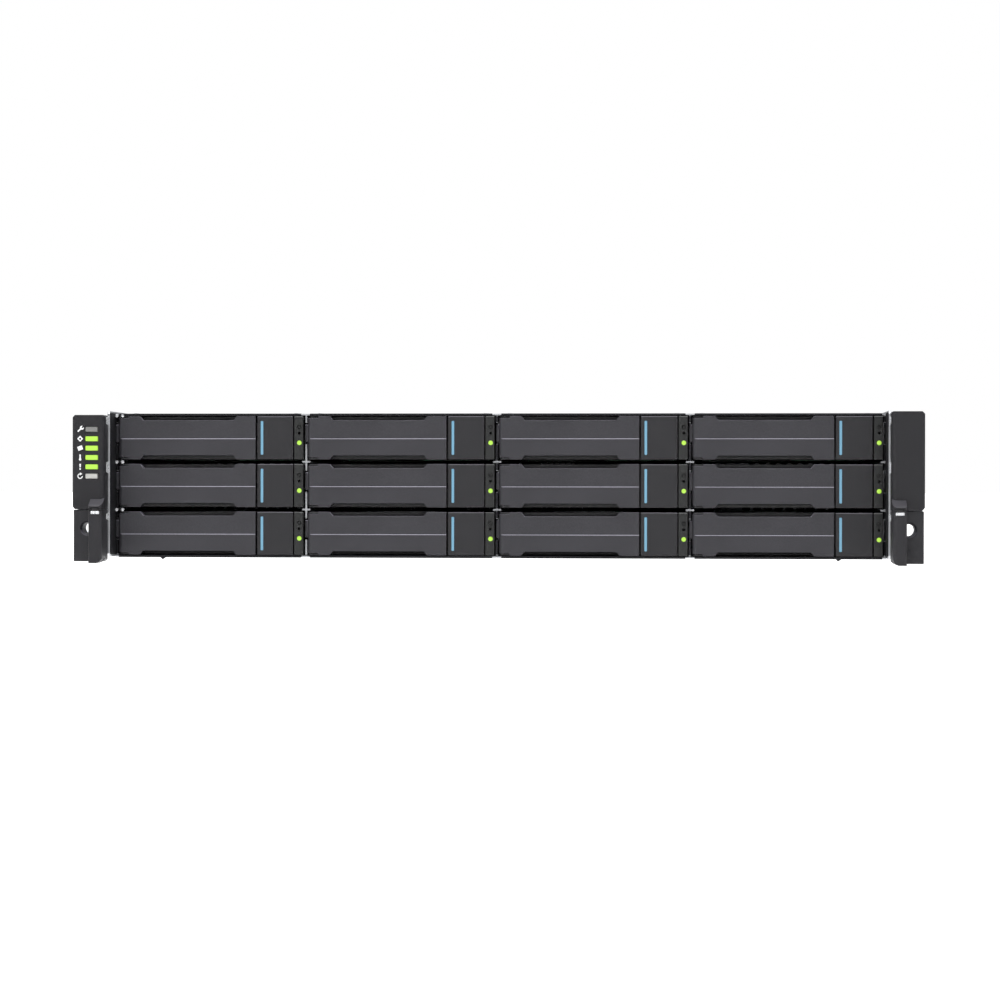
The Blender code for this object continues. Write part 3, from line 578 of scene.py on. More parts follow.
def screw(at, axis, radius=2.6, height=1.5, flip=False):
    """A pan-head screw with a six-lobed recess, its head's underside at the given point."""
    socket = radius * 0.42
    profile = [
        (radius * 0.96, 0.0),
        (radius, height * 0.3),
        (radius * 0.86, height * 0.8),
        (radius * 0.62, height),
        (socket, height, 1),
        (socket * 0.92, height * 0.45, 1),
        (0.0, height * 0.40),
    ]
    if flip:
        profile = [(point[0], -point[1], *point[2:]) for point in profile]
    return turned(profile, axis, at, 18, 6, 0.16)


def rivet(at, axis, radius=2.4, height=0.9, flip=False):
    side = -1.0 if flip else 1.0
    profile = [(radius, 0.0), (radius * 0.94, side * height * 0.45), (radius * 0.6, side * height * 0.9)]
    profile.append((0.0, side * height))
    return turned(profile, axis, at, 16)


# ---------------------------------------------------------------- drive bays
COLUMNS = 4
ROWS = 3
BEZEL_HEIGHT = 24.83
BEZEL_LEFT = 1.25
BEZEL_RIGHT = 109.3
BUTTON_LEFT = 82.55
BUTTON_RIGHT = 103.5
STRIP_LEFT = 104.0
LEVER_RIGHT = 81.55
LEVER_THICK = 5.2
PIVOT = (3.85, 2.6)
KNUCKLE_RIGHT = 7.3
KNUCKLE_INSET = 1.2
CUTOUT_LEFT = 15.95
CUTOUT_RIGHT = 68.65
CUTOUT_DEPTH = 2.3
CUTOUT_SLOPE = 1.8
GROOVE_Z = 12.0
STEP_BACK = 0.35
MARK_LOW = 2.6
MARK_HIGH = 22.2
MARK_X = 85.35
STRIP_X = 107.03
LED_Z = 9.55
EDGE = 0.55
STEP_SLOPE = 0.25
LEVER_SMOOTH = 4.0


def lever_outline():
    """The lever from the front: a knuckle at its left end, and a finger cut-out above and below."""
    top = BEZEL_HEIGHT
    half = [
        (BEZEL_LEFT, KNUCKLE_INSET),
        (KNUCKLE_RIGHT, KNUCKLE_INSET),
        (KNUCKLE_RIGHT, 0.0),
        (CUTOUT_LEFT - CUTOUT_SLOPE, 0.0),
        (CUTOUT_LEFT, CUTOUT_DEPTH),
        (CUTOUT_RIGHT, CUTOUT_DEPTH),
        (CUTOUT_RIGHT + CUTOUT_SLOPE, 0.0),
        (LEVER_RIGHT, 0.0),
    ]
    return half + [(x, top - z) for x, z in reversed(half)]


def lever_solid():
    """The lever: its upper half steps back a little, and the step's slope is the line along it."""
    top, thick = BEZEL_HEIGHT, LEVER_THICK
    plan = [(LEVER_RIGHT, 0.0), (LEVER_RIGHT, thick)] + arc(PIVOT, thick / 2, 90.0, 270.0, 28)
    side = [(0.0, 0.0), (0.0, GROOVE_Z - STEP_SLOPE), (STEP_BACK, GROOVE_Z), (STEP_BACK, top)]
    side += [(thick, top), (thick, 0.0)]
    body = prism(lever_outline(), "XZ", -1.0, thick + 1.0)
    body = common(body, prism(plan, "XY", -1.0, top + 1.0))
    body = common(body, prism(side, "YZ", 0.0, LEVER_RIGHT + 1.0))
    body = bevelled(body, EDGE, 3, 42.0)
    cutters = []
    for left, right in ((17.0, 31.5), (33.0, 48.5), (50.0, 65.5), (67.0, 79.8)):
        for low, high in ((4.0, 10.6), (13.2, 20.8)):
            cutters.append(slab("XZ", (left, low), (right, high), 1.0, 3, 2.2, thick + 1.0))
    body = cut(body, *cutters)
    nose = [(-0.4, 2.2), (4.85, 2.2), (4.85, 8.0)] + arc((3.85, 8.0), 1.0, 0.0, 90.0, 3)
    nose += arc((1.2, 7.4), 1.6, 90.0, 180.0, 4)
    return fused(body, prism(nose, "XY", 10.0, 20.0, 0.25, 1))


def button_solid():
    """The release button, with a slot for its blue mark and a hollow back."""
    body = block((BUTTON_LEFT, 0.0, 0.0), (BUTTON_RIGHT, 5.0, BEZEL_HEIGHT), EDGE)
    half = 0.82
    slot = slab("XZ", (MARK_X - half, MARK_LOW), (MARK_X + half, MARK_HIGH), 0.5, 3, -1.0, 0.4)
    hollow = slab("XZ", (84.0, 1.6), (102.0, 23.2), 1.0, 3, 2.2, 6.0)
    post = block((91.5, 1.5, 11.0), (94.5, 5.0, 14.0), 0.3, 1)
    return fused(cut(body, slot, hollow), post)


def mark_solid():
    half = 0.76
    low, high = (MARK_X - half, MARK_LOW + 0.06), (MARK_X + half, MARK_HIGH - 0.06)
    return slab("XZ", low, high, 0.45, 3, 0.04, 0.42, 0.08, 1)


def fork_outline():
    points = [(7.0, 1.6), (7.0, 11.0), (BEZEL_LEFT, 11.0)]
    return points + arc((3.85, 4.2), 2.6, 180.0, 270.0, 5)


def bezel_solid():
    """The carrier's front: a vented wall behind the lever, its ledge, and two fork tips."""
    wall = block((12.5, 8.0, 0.0), (104.6, 14.0, BEZEL_HEIGHT), 0.3, 1)
    slots = []
    for step in range(11):
        left = 17.0 + step * 6.0
        for low, high in ((3.6, 11.4), (13.4, 21.2)):
            slots.append(slab("XZ", (left, low), (left + 4.4, high), 0.8, 2, 7.0, 15.0))
    slots.append(slab("XZ", (85.0, 3.0), (101.5, 21.8), 1.0, 2, 11.0, 15.0))
    return fused(
        cut(wall, *slots),
        block((14.5, 5.9, 20.6), (70.2, 8.4, BEZEL_HEIGHT), 0.3, 1),
        block((BEZEL_LEFT, 10.8, 0.0), (12.7, 14.0, BEZEL_HEIGHT), 0.3, 1),
        prism(fork_outline(), "XY", 0.0, 0.9, 0.15, 1),
        prism(fork_outline(), "XY", BEZEL_HEIGHT - 0.9, BEZEL_HEIGHT, 0.15, 1),
    )


def shade_strip_solid():
    """A near-black strip behind the lower cut-out, with a bead along it: painted shade, which darkens the
    gap behind the cut-out where shade falls.
    """
    pad = block((14.5, 6.6, 0.3), (80.5, 8.1, 3.4), 0.35, 2)
    bead = rod((15.0, 6.7, 1.8), "X", 65.0, 0.5, 12, 0.2)
    return fused(pad, bead)


def strip_solid():
    """The light strip, with its lamp's opening, a pin hole, a dimple and a ring groove."""
    strip = block((STRIP_LEFT, 0.0, 0.0), (BEZEL_RIGHT, 14.0, BEZEL_HEIGHT), EDGE)
    holes = ((LED_Z, 3.0, 1.38, 24), (15.1, 7.0, 0.85, 20), (5.9, 1.2, 0.75, 20))
    cutters = [rod((STRIP_X, -1.0, z), "Y", depth, radius, sides) for z, depth, radius, sides in holes]
    return cut(strip, *cutters, hoop("Y", (STRIP_X, 0.0, 18.5), 0.62, 1.25, -0.5, 1.4, 24))


def led_solid():
    profile = [(1.32, 2.0), (1.32, 0.15), (1.05, -0.02), (0.6, -0.10), (0.0, -0.12)]
    return turned(profile, "Y", (STRIP_X, 0.0, LED_Z), 24)


DRIVE_LEFT = 4.475
DRIVE_RIGHT = 106.075
DRIVE_LOW = -0.285
DRIVE_DECK = 23.4
DRIVE_FRONT = 38.0
DRIVE_BACK = 185.0
RAIL_BACK = 190.0
SIDE_SCREWS = (66.0, 107.6, 168.0)
SPINDLE = (55.3, 92.0)


def rail_solid(outer, inner):
    """One side of a carrier tray: a channel with its open side towards the bay's wall."""
    left, right = sorted((outer, inner))
    inwards = 1.0 if outer < inner else -1.0
    pocket_left, pocket_right = sorted((outer - inwards, outer + 1.3 * inwards))
    cutters = []
    for front, back in ((20.0, 58.0), (74.0, 100.0), (115.0, 160.0)):
        cutters.append(slab("YZ", (front, 4.0), (back, 20.8), 2.0, 3, pocket_left, pocket_right))
    for y in SIDE_SCREWS:
        cutters.append(rod((left - 1.0, y, 7.0), "X", 5.0, 2.3, 16))
    for y in (30.0, 46.0, 82.0, 92.0, 126.0, 148.0):
        cutters.append(slab("YZ", (y - 3.0, 9.0), (y + 3.0, 16.0), 1.2, 2, left - 1.0, right + 1.0))
    tip, past = RAIL_BACK - 4.0, RAIL_BACK + 1.0
    for start, edge in ((0.0, 5.0), (25.0, 19.8)):
        cutters.append(prism([(tip, start), (past, edge), (past, start)], "YZ", 0.0, 110.0))
    return cut(block((left, 13.9, 1.0), (right, RAIL_BACK, 23.83), 0.4, 1), *cutters)


def drive_solid():
    """A 3.5-inch drive's casting, with screw holes and shallow pockets in its sides and front."""
    low, high = (DRIVE_LEFT, DRIVE_FRONT), (DRIVE_RIGHT, DRIVE_BACK)
    body = slab("XY", low, high, 2.0, 3, DRIVE_LOW + 1.6, DRIVE_DECK, 0.5, 1)
    cutters = []
    for y in SIDE_SCREWS:
        for x in (DRIVE_LEFT - 1.0, DRIVE_RIGHT - 3.0):
            cutters.append(rod((x, y, 7.0), "X", 4.0, 1.6, 14))
    for y in (52.0, 86.0, 138.0):
        for x in (DRIVE_LEFT - 1.0, DRIVE_RIGHT - 0.8):
            cutters.append(slab("YZ", (y - 8.0, 11.0), (y + 8.0, 20.0), 2.0, 2, x, x + 1.8))
    cutters.append(slab("XZ", (16.0, 11.0), (94.0, 20.0), 2.0, 2, DRIVE_FRONT - 1.0, DRIVE_FRONT + 0.8))
    return cut(body, *cutters)


def lid_solid():
    """A drive's lid: waisted between its screws, with a dome over the disks and a ring groove."""
    outline = [(9.0, 39.0), (101.5, 39.0), (105.2, 43.0), (105.2, 60.0), (103.4, 63.0), (103.4, 112.0)]
    outline += [(105.2, 115.0), (105.2, 180.0), (101.5, 184.0), (9.0, 184.0), (5.4, 180.0), (5.4, 115.0)]
    outline += [(7.2, 112.0), (7.2, 63.0), (5.4, 60.0), (5.4, 43.0)]
    plate = prism(outline, "XY", 23.3, 24.5, 0.3, 1)
    dome = cap("Z", (*SPINDLE, 24.4), 41.0, 0.0, 0.35, 40.2, 0.55, 48)
    hub = cap("Z", (*SPINDLE, 24.7), 10.5, 0.0, 0.25, 10.0, 0.4, 32)
    swing = slab("XY", (60.0, 142.0), (97.0, 176.0), 5.0, 4, 24.4, 24.9, 0.2, 1)
    groove = hoop("Z", (*SPINDLE, 24.7), 12.8, 14.2, -1.0, 0.3, 32)
    return cut(fused(plate, dome, swing, hub), groove)


def drive_screws():
    """The screws in a drive's lid, and those that hold the drive between the two rails."""
    places = [(x, y) for x in (12.0, 98.6) for y in (43.0, 180.0)]
    places += [(8.6, 87.0), (102.0, 87.0), (55.3, 180.0)]
    screws = [screw((x, y, 24.45), "Z", 1.9, 0.6) for x, y in places]
    screws.append(screw((*SPINDLE, 24.95), "Z", 1.6, 0.16))
    for y in SIDE_SCREWS:
        screws.append(screw((3.4, y, 7.0), "X", 2.1, 1.1, flip=True))
        screws.append(screw((107.15, y, 7.0), "X", 2.1, 1.1))
    return grouped(*screws)


def label_solid():
    return slab("XY", (16.0, 134.0), (57.0, 176.0), 1.0, 2, 24.45, 24.62)


def label_ink():
    """Blank boxes and rules on the label, with nothing written in them."""
    low, high = 24.6, 24.66
    marks = [block((19.0, y, low), (54.0, y + 0.5, high)) for y in (139.0, 145.0, 151.0)]
    bars = ((19.0, 1.0), (21.0, 0.5), (22.4, 1.6), (25.0, 0.5), (26.4, 1.0), (28.6, 0.5), (30.0, 1.6))
    for left, width in bars:
        marks.append(block((left, 161.0, low), (left + width, 170.0, high)))
    marks.append(block((40.0, 160.0, low), (54.0, 171.0, high)))
    return grouped(*marks)


def drive_board():
    """The circuit board under a drive: an L shape, leaving the spindle's base bare."""
    outline = [(8.0, 100.0), (8.0, 182.0), (102.0, 182.0), (102.0, 62.0), (60.0, 62.0), (60.0, 100.0)]
    return prism(outline, "XY", DRIVE_LOW + 0.15, DRIVE_LOW + 1.65)


def drive_plug():
    """The connector at a drive's back, which mates with the midplane, and the spindle's base."""
    body = block((60.0, 176.0, 1.0), (102.0, 184.95, 6.6), 0.3, 1)
    slot = block((62.0, 180.0, 2.6), (100.0, 186.0, 5.0))
    tongue = block((63.0, 178.0, 3.2), (99.0, 184.6, 4.2))
    hub = cap("Z", (*SPINDLE, 1.4), 13.5, 0.0, -1.0, 12.8, -1.3, 32)
    return grouped(fused(cut(body, slot), tongue), hub)


def bay_corner(number):
    """The front lower left corner of a bay's bezel."""
    return node_box(f"release_button_{number}")[0] - Vector((BUTTON_LEFT, 0.0, 0.0))


def bay_pieces():
    """A bay's pieces: name, solid, material, body, slot, and whether it replaces its body's node."""
    pin = rod((*PIVOT, 0.2), "Z", BEZEL_HEIGHT - 0.4, 0.9, 16, 0.2)
    rails = grouped(rail_solid(2.175, 4.575), rail_solid(108.375, 105.975))
    return (
        ("lever", lever_solid(), BEZEL_BLACK, "carrier_lever", "bezel_black", True),
        ("button", button_solid(), BUTTON_BLACK, "release_button", "button_black", True),
        ("mark", mark_solid(), GLOWING_MARK_BLUE, "release_button", "mark_blue", False),
        ("bezel", bezel_solid(), CARRIER_BLACK, "drive_module", "bezel_black", True),
        # The near-black strip behind the lower cut-out is painted shade.
        ("gasket", shade_strip_solid(), DEEP_BLACK, "drive_module", "bezel_black", False),
        ("strip", strip_solid(), STRIP_BLACK, "drive_module", "button_black", False),
        ("led", led_solid(), LENS_GREEN, "drive_module", "lens_green", False),
        ("lever_pin", pin, CHIP_BLACK, "drive_module", "fan_black", False),
        ("rails", rails, ZINC_STEEL, "drive_module", "zinc_steel", False),
        ("drive", drive_solid(), DRIVE_ALLOY, "drive_module", "drive_alloy", False),
        ("drive_lid", lid_solid(), LID_STEEL, "drive_module", "drive_alloy", False),
        ("drive_screws", drive_screws(), SCREW_STEEL, "drive_module", "zinc_steel", False),
        ("drive_label", label_solid(), LABEL_WHITE, "drive_module", "ink_white", False),
        ("drive_label_ink", label_ink(), LABEL_GREY, "drive_module", "ink_white", False),
        ("drive_board", drive_board(), BOARD_GREEN, "drive_module", "board_green", False),
        ("drive_plug", drive_plug(), CHIP_BLACK, "drive_module", "fan_black", False),
    )


def make_bays():
    meshes = []
    for name, solid, material, *rest in bay_pieces():
        meshes.append((name, mesh_of(solid, material, LEVER_SMOOTH if name == "lever" else 32.0), *rest))
    for index in range(ROWS * COLUMNS):
        number = f"{index + 1:02d}"
        corner = bay_corner(number)
        for name, mesh, body, slot, replacing in meshes:
            node = f"{body}_{number}"
            put(f"{name}_{number}", mesh, node, corner, (node,) if replacing else ())


make_bays()

# ---------------------------------------------------------------- rack ears
EAR_IN = 222.9
EAR_OUT = 241.3
EAR_FACE = node_box("ear_cover_right")[0].y + 6.0
GRIP_OUT = 230.8
GRIP_FACE = EAR_FACE - 6.0
EAR_BACK = EAR_FACE + 9.9
EAR_SPLIT = 30.6
HOUSING_INSET = 0.5
HOLE = (232.55, 20.0)
HOLE_RADIUS = 3.4
LENS_HALF = (3.5, 1.35)
ICON_X = -236.75
TOP_LENS_Z = 76.45
FLANGE_FRONT = EAR_FACE + 10.2
FLANGE_BACK = EAR_FACE + 11.9


def cover_solid(top, windows):
    """The upper half of a right ear: a shell, with the sloping roof of the grip."""
    front = [(EAR_IN, 30.9), (EAR_IN, top - 0.8), (EAR_IN + 0.8, top), (EAR_OUT - 1.5, top)]
    front += [(EAR_OUT, top - 1.5), (EAR_OUT, 32.6), (EAR_OUT - 1.5, 30.9)]
    plan = [(EAR_IN, EAR_BACK)] + arc((EAR_IN + 2.6, EAR_FACE + 2.6), 2.6, 180.0, 270.0, 6)
    plan += arc((EAR_OUT - 0.9, EAR_FACE + 0.9), 0.9, 270.0, 360.0, 3) + [(EAR_OUT, EAR_BACK)]
    body = common(prism(front, "XZ", EAR_FACE - 1.0, EAR_BACK + 1.0), prism(plan, "XY", 20.0, 90.0))
    body = bevelled(body, 0.35, 2, 40.0)
    slope = [(GRIP_FACE, 30.9), (EAR_FACE + 1.0, 30.9), (EAR_FACE + 1.0, 37.3), (GRIP_FACE + 0.8, 33.4)]
    slope.append((GRIP_FACE, 32.6))
    roof = prism(slope, "YZ", EAR_IN, GRIP_OUT)
    roof_plan = [(EAR_IN, EAR_FACE + 2.0)] + arc((EAR_IN + 2.6, GRIP_FACE + 2.6), 2.6, 180.0, 270.0, 6)
    roof_plan += arc((GRIP_OUT - 0.8, GRIP_FACE + 0.8), 0.8, 270.0, 360.0, 3) + [(GRIP_OUT, EAR_FACE + 2.0)]
    roof = bevelled(common(roof, prism(roof_plan, "XY", 20.0, 90.0)), 0.3, 2, 40.0)
    body = fused(body, roof)
    cutters = [block((EAR_IN + 1.5, EAR_FACE + 1.5, 33.4), (EAR_OUT - 1.5, EAR_BACK + 1.0, top - 1.5))]
    cutters.append(block((224.4, GRIP_FACE - 1.0, 30.0), (229.6, GRIP_FACE + 0.9, 31.9)))
    for height in windows:
        window = rounded((226.4, height - 1.65), (234.0, height + 1.65), 0.5, 3)
        cutters.append(prism(window, "XZ", EAR_FACE - 1.0, EAR_FACE + 3.0))
    return cut(body, *cutters)


def housing_solid():
    """The lower half of a right ear: a block with the rack screw's hole, and the grip in front of it."""
    outer = EAR_OUT - HOUSING_INSET
    front = EAR_FACE + 0.6
    plan = [(EAR_IN, EAR_BACK)] + arc((EAR_IN + 2.6, front + 2.6), 2.6, 180.0, 270.0, 6)
    plan += arc((outer - 0.9, front + 0.9), 0.9, 270.0, 360.0, 3) + [(outer, EAR_BACK)]
    block_part = bevelled(prism(plan, "XY", 1.1, EAR_SPLIT), 0.4, 2, 40.0)
    face = [(226.2, 0.25), (GRIP_OUT, 0.25), (GRIP_OUT, EAR_SPLIT), (EAR_IN, EAR_SPLIT), (EAR_IN, 4.0)]
    face += [(223.5, 2.3), (224.6, 0.9)]
    grip_plan = [(EAR_IN, EAR_FACE + 4.0)] + arc((EAR_IN + 2.8, GRIP_FACE + 2.8), 2.8, 180.0, 270.0, 8)
    grip_plan += arc((GRIP_OUT - 0.8, GRIP_FACE + 0.8), 0.8, 270.0, 360.0, 3) + [(GRIP_OUT, EAR_FACE + 4.0)]
    grip = common(prism(face, "XZ", GRIP_FACE - 1.0, EAR_FACE + 5.0), prism(grip_plan, "XY", -1.0, 32.0))
    grip = bevelled(grip, 0.45, 2, 40.0)
    x, z = HOLE
    bore = turned(
        [(4.7, -1.0), (4.35, 0.0), (HOLE_RADIUS, 1.3), (HOLE_RADIUS, 12.0)], "Y", (x, front, z), 32
    )
    chamfer = [(EAR_IN - 1.0, -1.0), (226.4, -1.0), (EAR_IN - 1.0, 3.4)]
    corner = prism(chamfer, "XZ", EAR_FACE, EAR_BACK + 1.0)
    pocket = block((224.4, GRIP_FACE - 1.0, 27.9), (229.6, GRIP_FACE + 1.2, 31.0))
    return cut(fused(block_part, grip), bore, corner, pocket)


def grip_bar_solid():
    bar = rounded((224.55, 28.15), (229.45, 29.85), 0.35, 2)
    return prism(bar, "XZ", GRIP_FACE + 0.05, GRIP_FACE + 1.15, 0.2, 1)


def grip_pad_solid():
    return block((224.7, GRIP_FACE + 0.35, 30.0), (229.3, GRIP_FACE + 0.85, 31.6), 0.15, 1)


def bracket_solid():
    """A right rack bracket: folded steel, with its flange behind the ear."""
    front, outer = FLANGE_FRONT, EAR_OUT - HOUSING_INSET
    outline = [(front, 5.5), (front + 6.0, 3.4), (EAR_FACE + 75.0, 3.4), (EAR_FACE + 75.0, 87.2)]
    outline += [(front + 1.5, 87.2), (front, 85.7)]
    wall = bevelled(prism(outline, "YZ", 221.9, 223.4), 0.3, 2, 40.0)
    flange = block((223.3, front, 5.5), (outer, FLANGE_BACK, 84.0), 0.3, 1)
    foot = block((224.0, front, 1.4), (outer, FLANGE_BACK, 5.8), 0.3, 1)
    x, z = HOLE
    cutters = [rod((x, front - 1.0, z), "Y", 4.0, HOLE_RADIUS, 32)]
    for low, high in ((14.0, 26.0), (62.0, 74.0)):
        for y in (EAR_FACE + 24.0, EAR_FACE + 46.0):
            cutters.append(slab("YZ", (y, low), (y + 7.0, high), 3.4, 4, 222.6, 224.0))
    return cut(fused(wall, flange, foot), *cutters)


def bracket_screws():
    screws = []
    for y in (EAR_FACE + 27.5, EAR_FACE + 49.5):
        screws += [screw((222.6, y, z), "X", 2.6, 1.3) for z in (20.0, 68.0)]
    screws += [screw((223.4, EAR_FACE + 67.0, z), "X", 2.6, 1.3) for z in (20.0, 44.0, 68.0)]
    return grouped(*screws)


def snap_hooks():
    """The steel tongues that hold an ear's plastic to its bracket."""
    hooks = []
    for low, high in ((51.3, 58.5), (78.9, 84.2), (24.5, 29.0)):
        tongue = [(FLANGE_FRONT + 0.2, low), (EAR_FACE + 5.0, low + 0.8), (EAR_FACE + 5.0, high - 0.8)]
        tongue.append((FLANGE_FRONT + 0.2, high))
        hooks.append(prism(tongue, "YZ", 222.35, 222.85, 0.12, 1))
    return grouped(*hooks)


def wrench_icon(x, z):
    shaft = Matrix.Translation((x, 0.0, z)) @ Matrix.Rotation(radians(-42.0), 4, "Y")
    bar = block((-1.9, 0.0, -0.42), (1.2, 0.08, 0.42))
    head = turned([(1.15, 0.0), (1.15, 0.08)], "Y", (1.35, 0.0, 0.0), 16)
    jaw = block((1.3, -1.0, -0.45), (3.0, 1.0, 0.45))
    icon = cut(fused(bar, head), jaw)
    icon.data.transform(shaft)
    return icon


def diamond_icon(x, z):
    outer = prism([(x, z - 1.75), (x + 1.75, z), (x, z + 1.75), (x - 1.75, z)], "XZ", 0.0, 0.08)
    return cut(outer, rod((x, -1.0, z), "Y", 3.0, 0.62, 16))


def pinwheel_icon(x, z):
    square = block((-1.45, 0.0, -1.2), (1.45, 0.08, 1.2))
    square.data.transform(Matrix.Translation((x, 0.0, z)) @ Matrix.Rotation(radians(-20.0), 4, "Y"))
    return square


def bar_icon(x, z):
    tube = block((x - 0.42, 0.0, z - 1.0), (x + 0.42, 0.08, z + 1.7))
    bulb = rod((x, 0.0, z - 1.1), "Y", 0.08, 0.72, 16)
    return fused(tube, bulb)


def alert_icon(x, z):
    mark = [(x - 0.5, z + 1.7), (x - 0.3, z - 0.35), (x + 0.3, z - 0.35), (x + 0.5, z + 1.7)]
    return grouped(prism(mark, "XZ", 0.0, 0.08), rod((x, 0.0, z - 1.25), "Y", 0.08, 0.48, 12))


def loop_icon(x, z):
    ring = cut(rod((x, 0.0, z), "Y", 0.08, 1.55, 24), rod((x, -1.0, z), "Y", 3.0, 1.0, 24))
    ring = cut(ring, block((x, -1.0, z), (x + 2.0, 1.0, z + 2.0)))
    arrow = prism([(x - 0.1, z + 2.15), (x + 1.25, z + 1.27), (x - 0.1, z + 0.4)], "XZ", 0.0, 0.08)
    return grouped(ring, arrow)


def make_status_lights():
    low, high = node_box("service_button")
    x, key_z = (low.x + high.x) / 2, (low.z + high.z) / 2
    step = (TOP_LENS_Z - key_z) / 5
    heights = [TOP_LENS_Z - step * index for index in range(6)]
    half_x, half_z = LENS_HALF
    outlines = [rounded((x - half_x, z - half_z), (x + half_x, z + half_z), 0.5, 3) for z in heights]
    for index, outline in enumerate(outlines[:5]):
        lens = prism(outline, "XZ", EAR_FACE - 0.05, EAR_FACE + 6.3, 0.15, 1)
        material = LENS_GREEN if index else LENS_OFF
        replaced = () if index else ("status_board",)
        add_piece(f"status_lens_{index + 1}", lens, material, "chassis", (), replaced)
    button = prism(outlines[5], "XZ", EAR_FACE - 0.2, EAR_FACE + 3.6, 0.25, 2)
    z = heights[5]
    rim = block((x - 4.5, EAR_FACE + 2.0, z - 1.95), (x + 4.5, EAR_FACE + 3.6, z + 1.95))
    key = fused(button, rim)
    add_piece("service_key", key, KEY_GREY, "service_button", (), ("service_button",))
    makers = (wrench_icon, diamond_icon, pinwheel_icon, bar_icon, alert_icon, loop_icon)
    icons = grouped(*[maker(ICON_X, height) for maker, height in zip(makers, heights)])
    icons.data.transform(Matrix.Translation((0.0, EAR_FACE - 0.06, 0.0)))
    add_piece("status_icons", icons, INK_WHITE, "chassis")
    board = block((-239.2, EAR_FACE + 6.2, 36.0), (-225.0, EAR_FACE + 7.8, 81.5), 0.1, 1)
    add_piece("status_board_pcb", board, BOARD_GREEN, "chassis")
    return heights


def make_ears():
    heights = make_status_lights()
    for side, top in (("left", 84.7), ("right", 86.5)):
        windows = heights if side == "left" else ()
        solids = {
            "ear_cover_shell": (cover_solid(top, windows), EAR_BLACK, "ear_black", f"ear_cover_{side}"),
            "ear_housing_grip": (housing_solid(), HOUSING_BLACK, "ear_black", f"ear_housing_{side}"),
            "rack_bracket_plate": (bracket_solid(), ZINC_STEEL, "zinc_steel", f"rack_bracket_{side}"),
            "grip_bar": (grip_bar_solid(), BRIGHT_STEEL, "zinc_steel", None),
            "grip_pad": (grip_pad_solid(), DEEP_BLACK, "ear_black", None),
            "rack_bracket_screws": (bracket_screws(), SCREW_STEEL, "zinc_steel", None),
            "snap_hooks": (snap_hooks(), BRIGHT_STEEL, "zinc_steel", None),
        }
        for name, (solid, material, slot, node) in solids.items():
            if side == "left":
                mirrored(solid)
            add_piece(f"{name}_{side}", solid, material, "chassis", (), (node,) if node else ())


make_ears()

# ---------------------------------------------------------------- trims round the bays
COLUMN_PITCH = 110.55
ROW_PITCH = 27.556
ROW_LOW = 4.56
BAY_FACE = node_box("release_button_01")[0].y
LEDGE_HEIGHTS = (30.75, 58.3)
NOTCH_LOW = 8.8
NOTCH_HIGH = 21.1
DIVIDERS = (-COLUMN_PITCH, 0.0, COLUMN_PITCH)
DARK_DIVIDERS = (0.0, COLUMN_PITCH)
WALL_IN = 220.6
WALL_OUT = 221.6
CAGE_TOP = 85.9
FLOOR_LOW = 3.2


def edge_stretches():
    """The heights where a divider's front edge is steel, between the notches for the lever cams."""
    stretches = [(ROW_LOW + 0.6, ROW_LOW + NOTCH_LOW - 0.3)]
    for row, ledge in enumerate(LEDGE_HEIGHTS):
        low = ROW_LOW + row * ROW_PITCH + NOTCH_HIGH + 0.3
        high = ROW_LOW + (row + 1) * ROW_PITCH + NOTCH_LOW - 0.3
        stretches += [(low, ledge - 0.75), (ledge + 0.75, high)]
    stretches.append((ROW_LOW + 2 * ROW_PITCH + NOTCH_HIGH + 0.3, CAGE_TOP - 1.4))
    return stretches


def edge_clip(left, right, front, low, high):
    """A U-shaped edge protector over a stretch of sheet edge."""
    outline = [(left - 0.3, front + 3.6), (left - 0.3, front - 0.1)]
    outline += [(left + 0.1, front - 0.5), (right - 0.1, front - 0.5), (right + 0.3, front - 0.1)]
    outline += [(right + 0.3, front + 3.6)]
    return bevelled(prism(outline, "XY", low, high), 0.12, 1)


def edge_clips():
    clips = []
    for low, high in edge_stretches():
        for x in DARK_DIVIDERS:
            clips.append(edge_clip(x - 0.5, x + 0.5, BAY_FACE + 1.0, low, high))
        for side in SIDES:
            clips.append(edge_clip(*span(side, WALL_IN, WALL_OUT), BAY_FACE + 4.0, low, high))
    return grouped(*clips)


def front_trims():
    """Rubber channels on the front edges of the cage's roof and of the floor, open at the dividers."""
    edges = [-WALL_IN + 1.2]
    for x in DIVIDERS:
        edges += [x - 2.6, x + 2.6]
    edges.append(WALL_IN - 1.2)
    front, back = BAY_FACE + 0.2, BAY_FACE + 5.0
    trims = []
    for left, right in zip(edges[::2], edges[1::2]):
        for low, high in ((CAGE_TOP - 1.05, CAGE_TOP + 0.2), (FLOOR_LOW - 0.2, FLOOR_LOW + 1.05)):
            trims.append(block((left, front, low), (right, back, high), 0.25, 2))
    return grouped(*trims)


def bracket_shade_film(side):
    """A near-black film inside a rack bracket, from its front edge back to the side wall: painted shade and
    painted reflection, darkening the bracket's inner face, which lies in shade and mirrors the dark bezels.
    """
    outline = [(FLANGE_FRONT + 0.6, 5.0), (BAY_FACE + 3.3, 4.4), (BAY_FACE + 3.3, 86.2)]
    outline += [(FLANGE_FRONT + 1.6, 86.2), (FLANGE_FRONT + 0.6, 85.2)]
    return prism(outline, "YZ", *span(side, 221.35, 221.88), 0.1, 1)


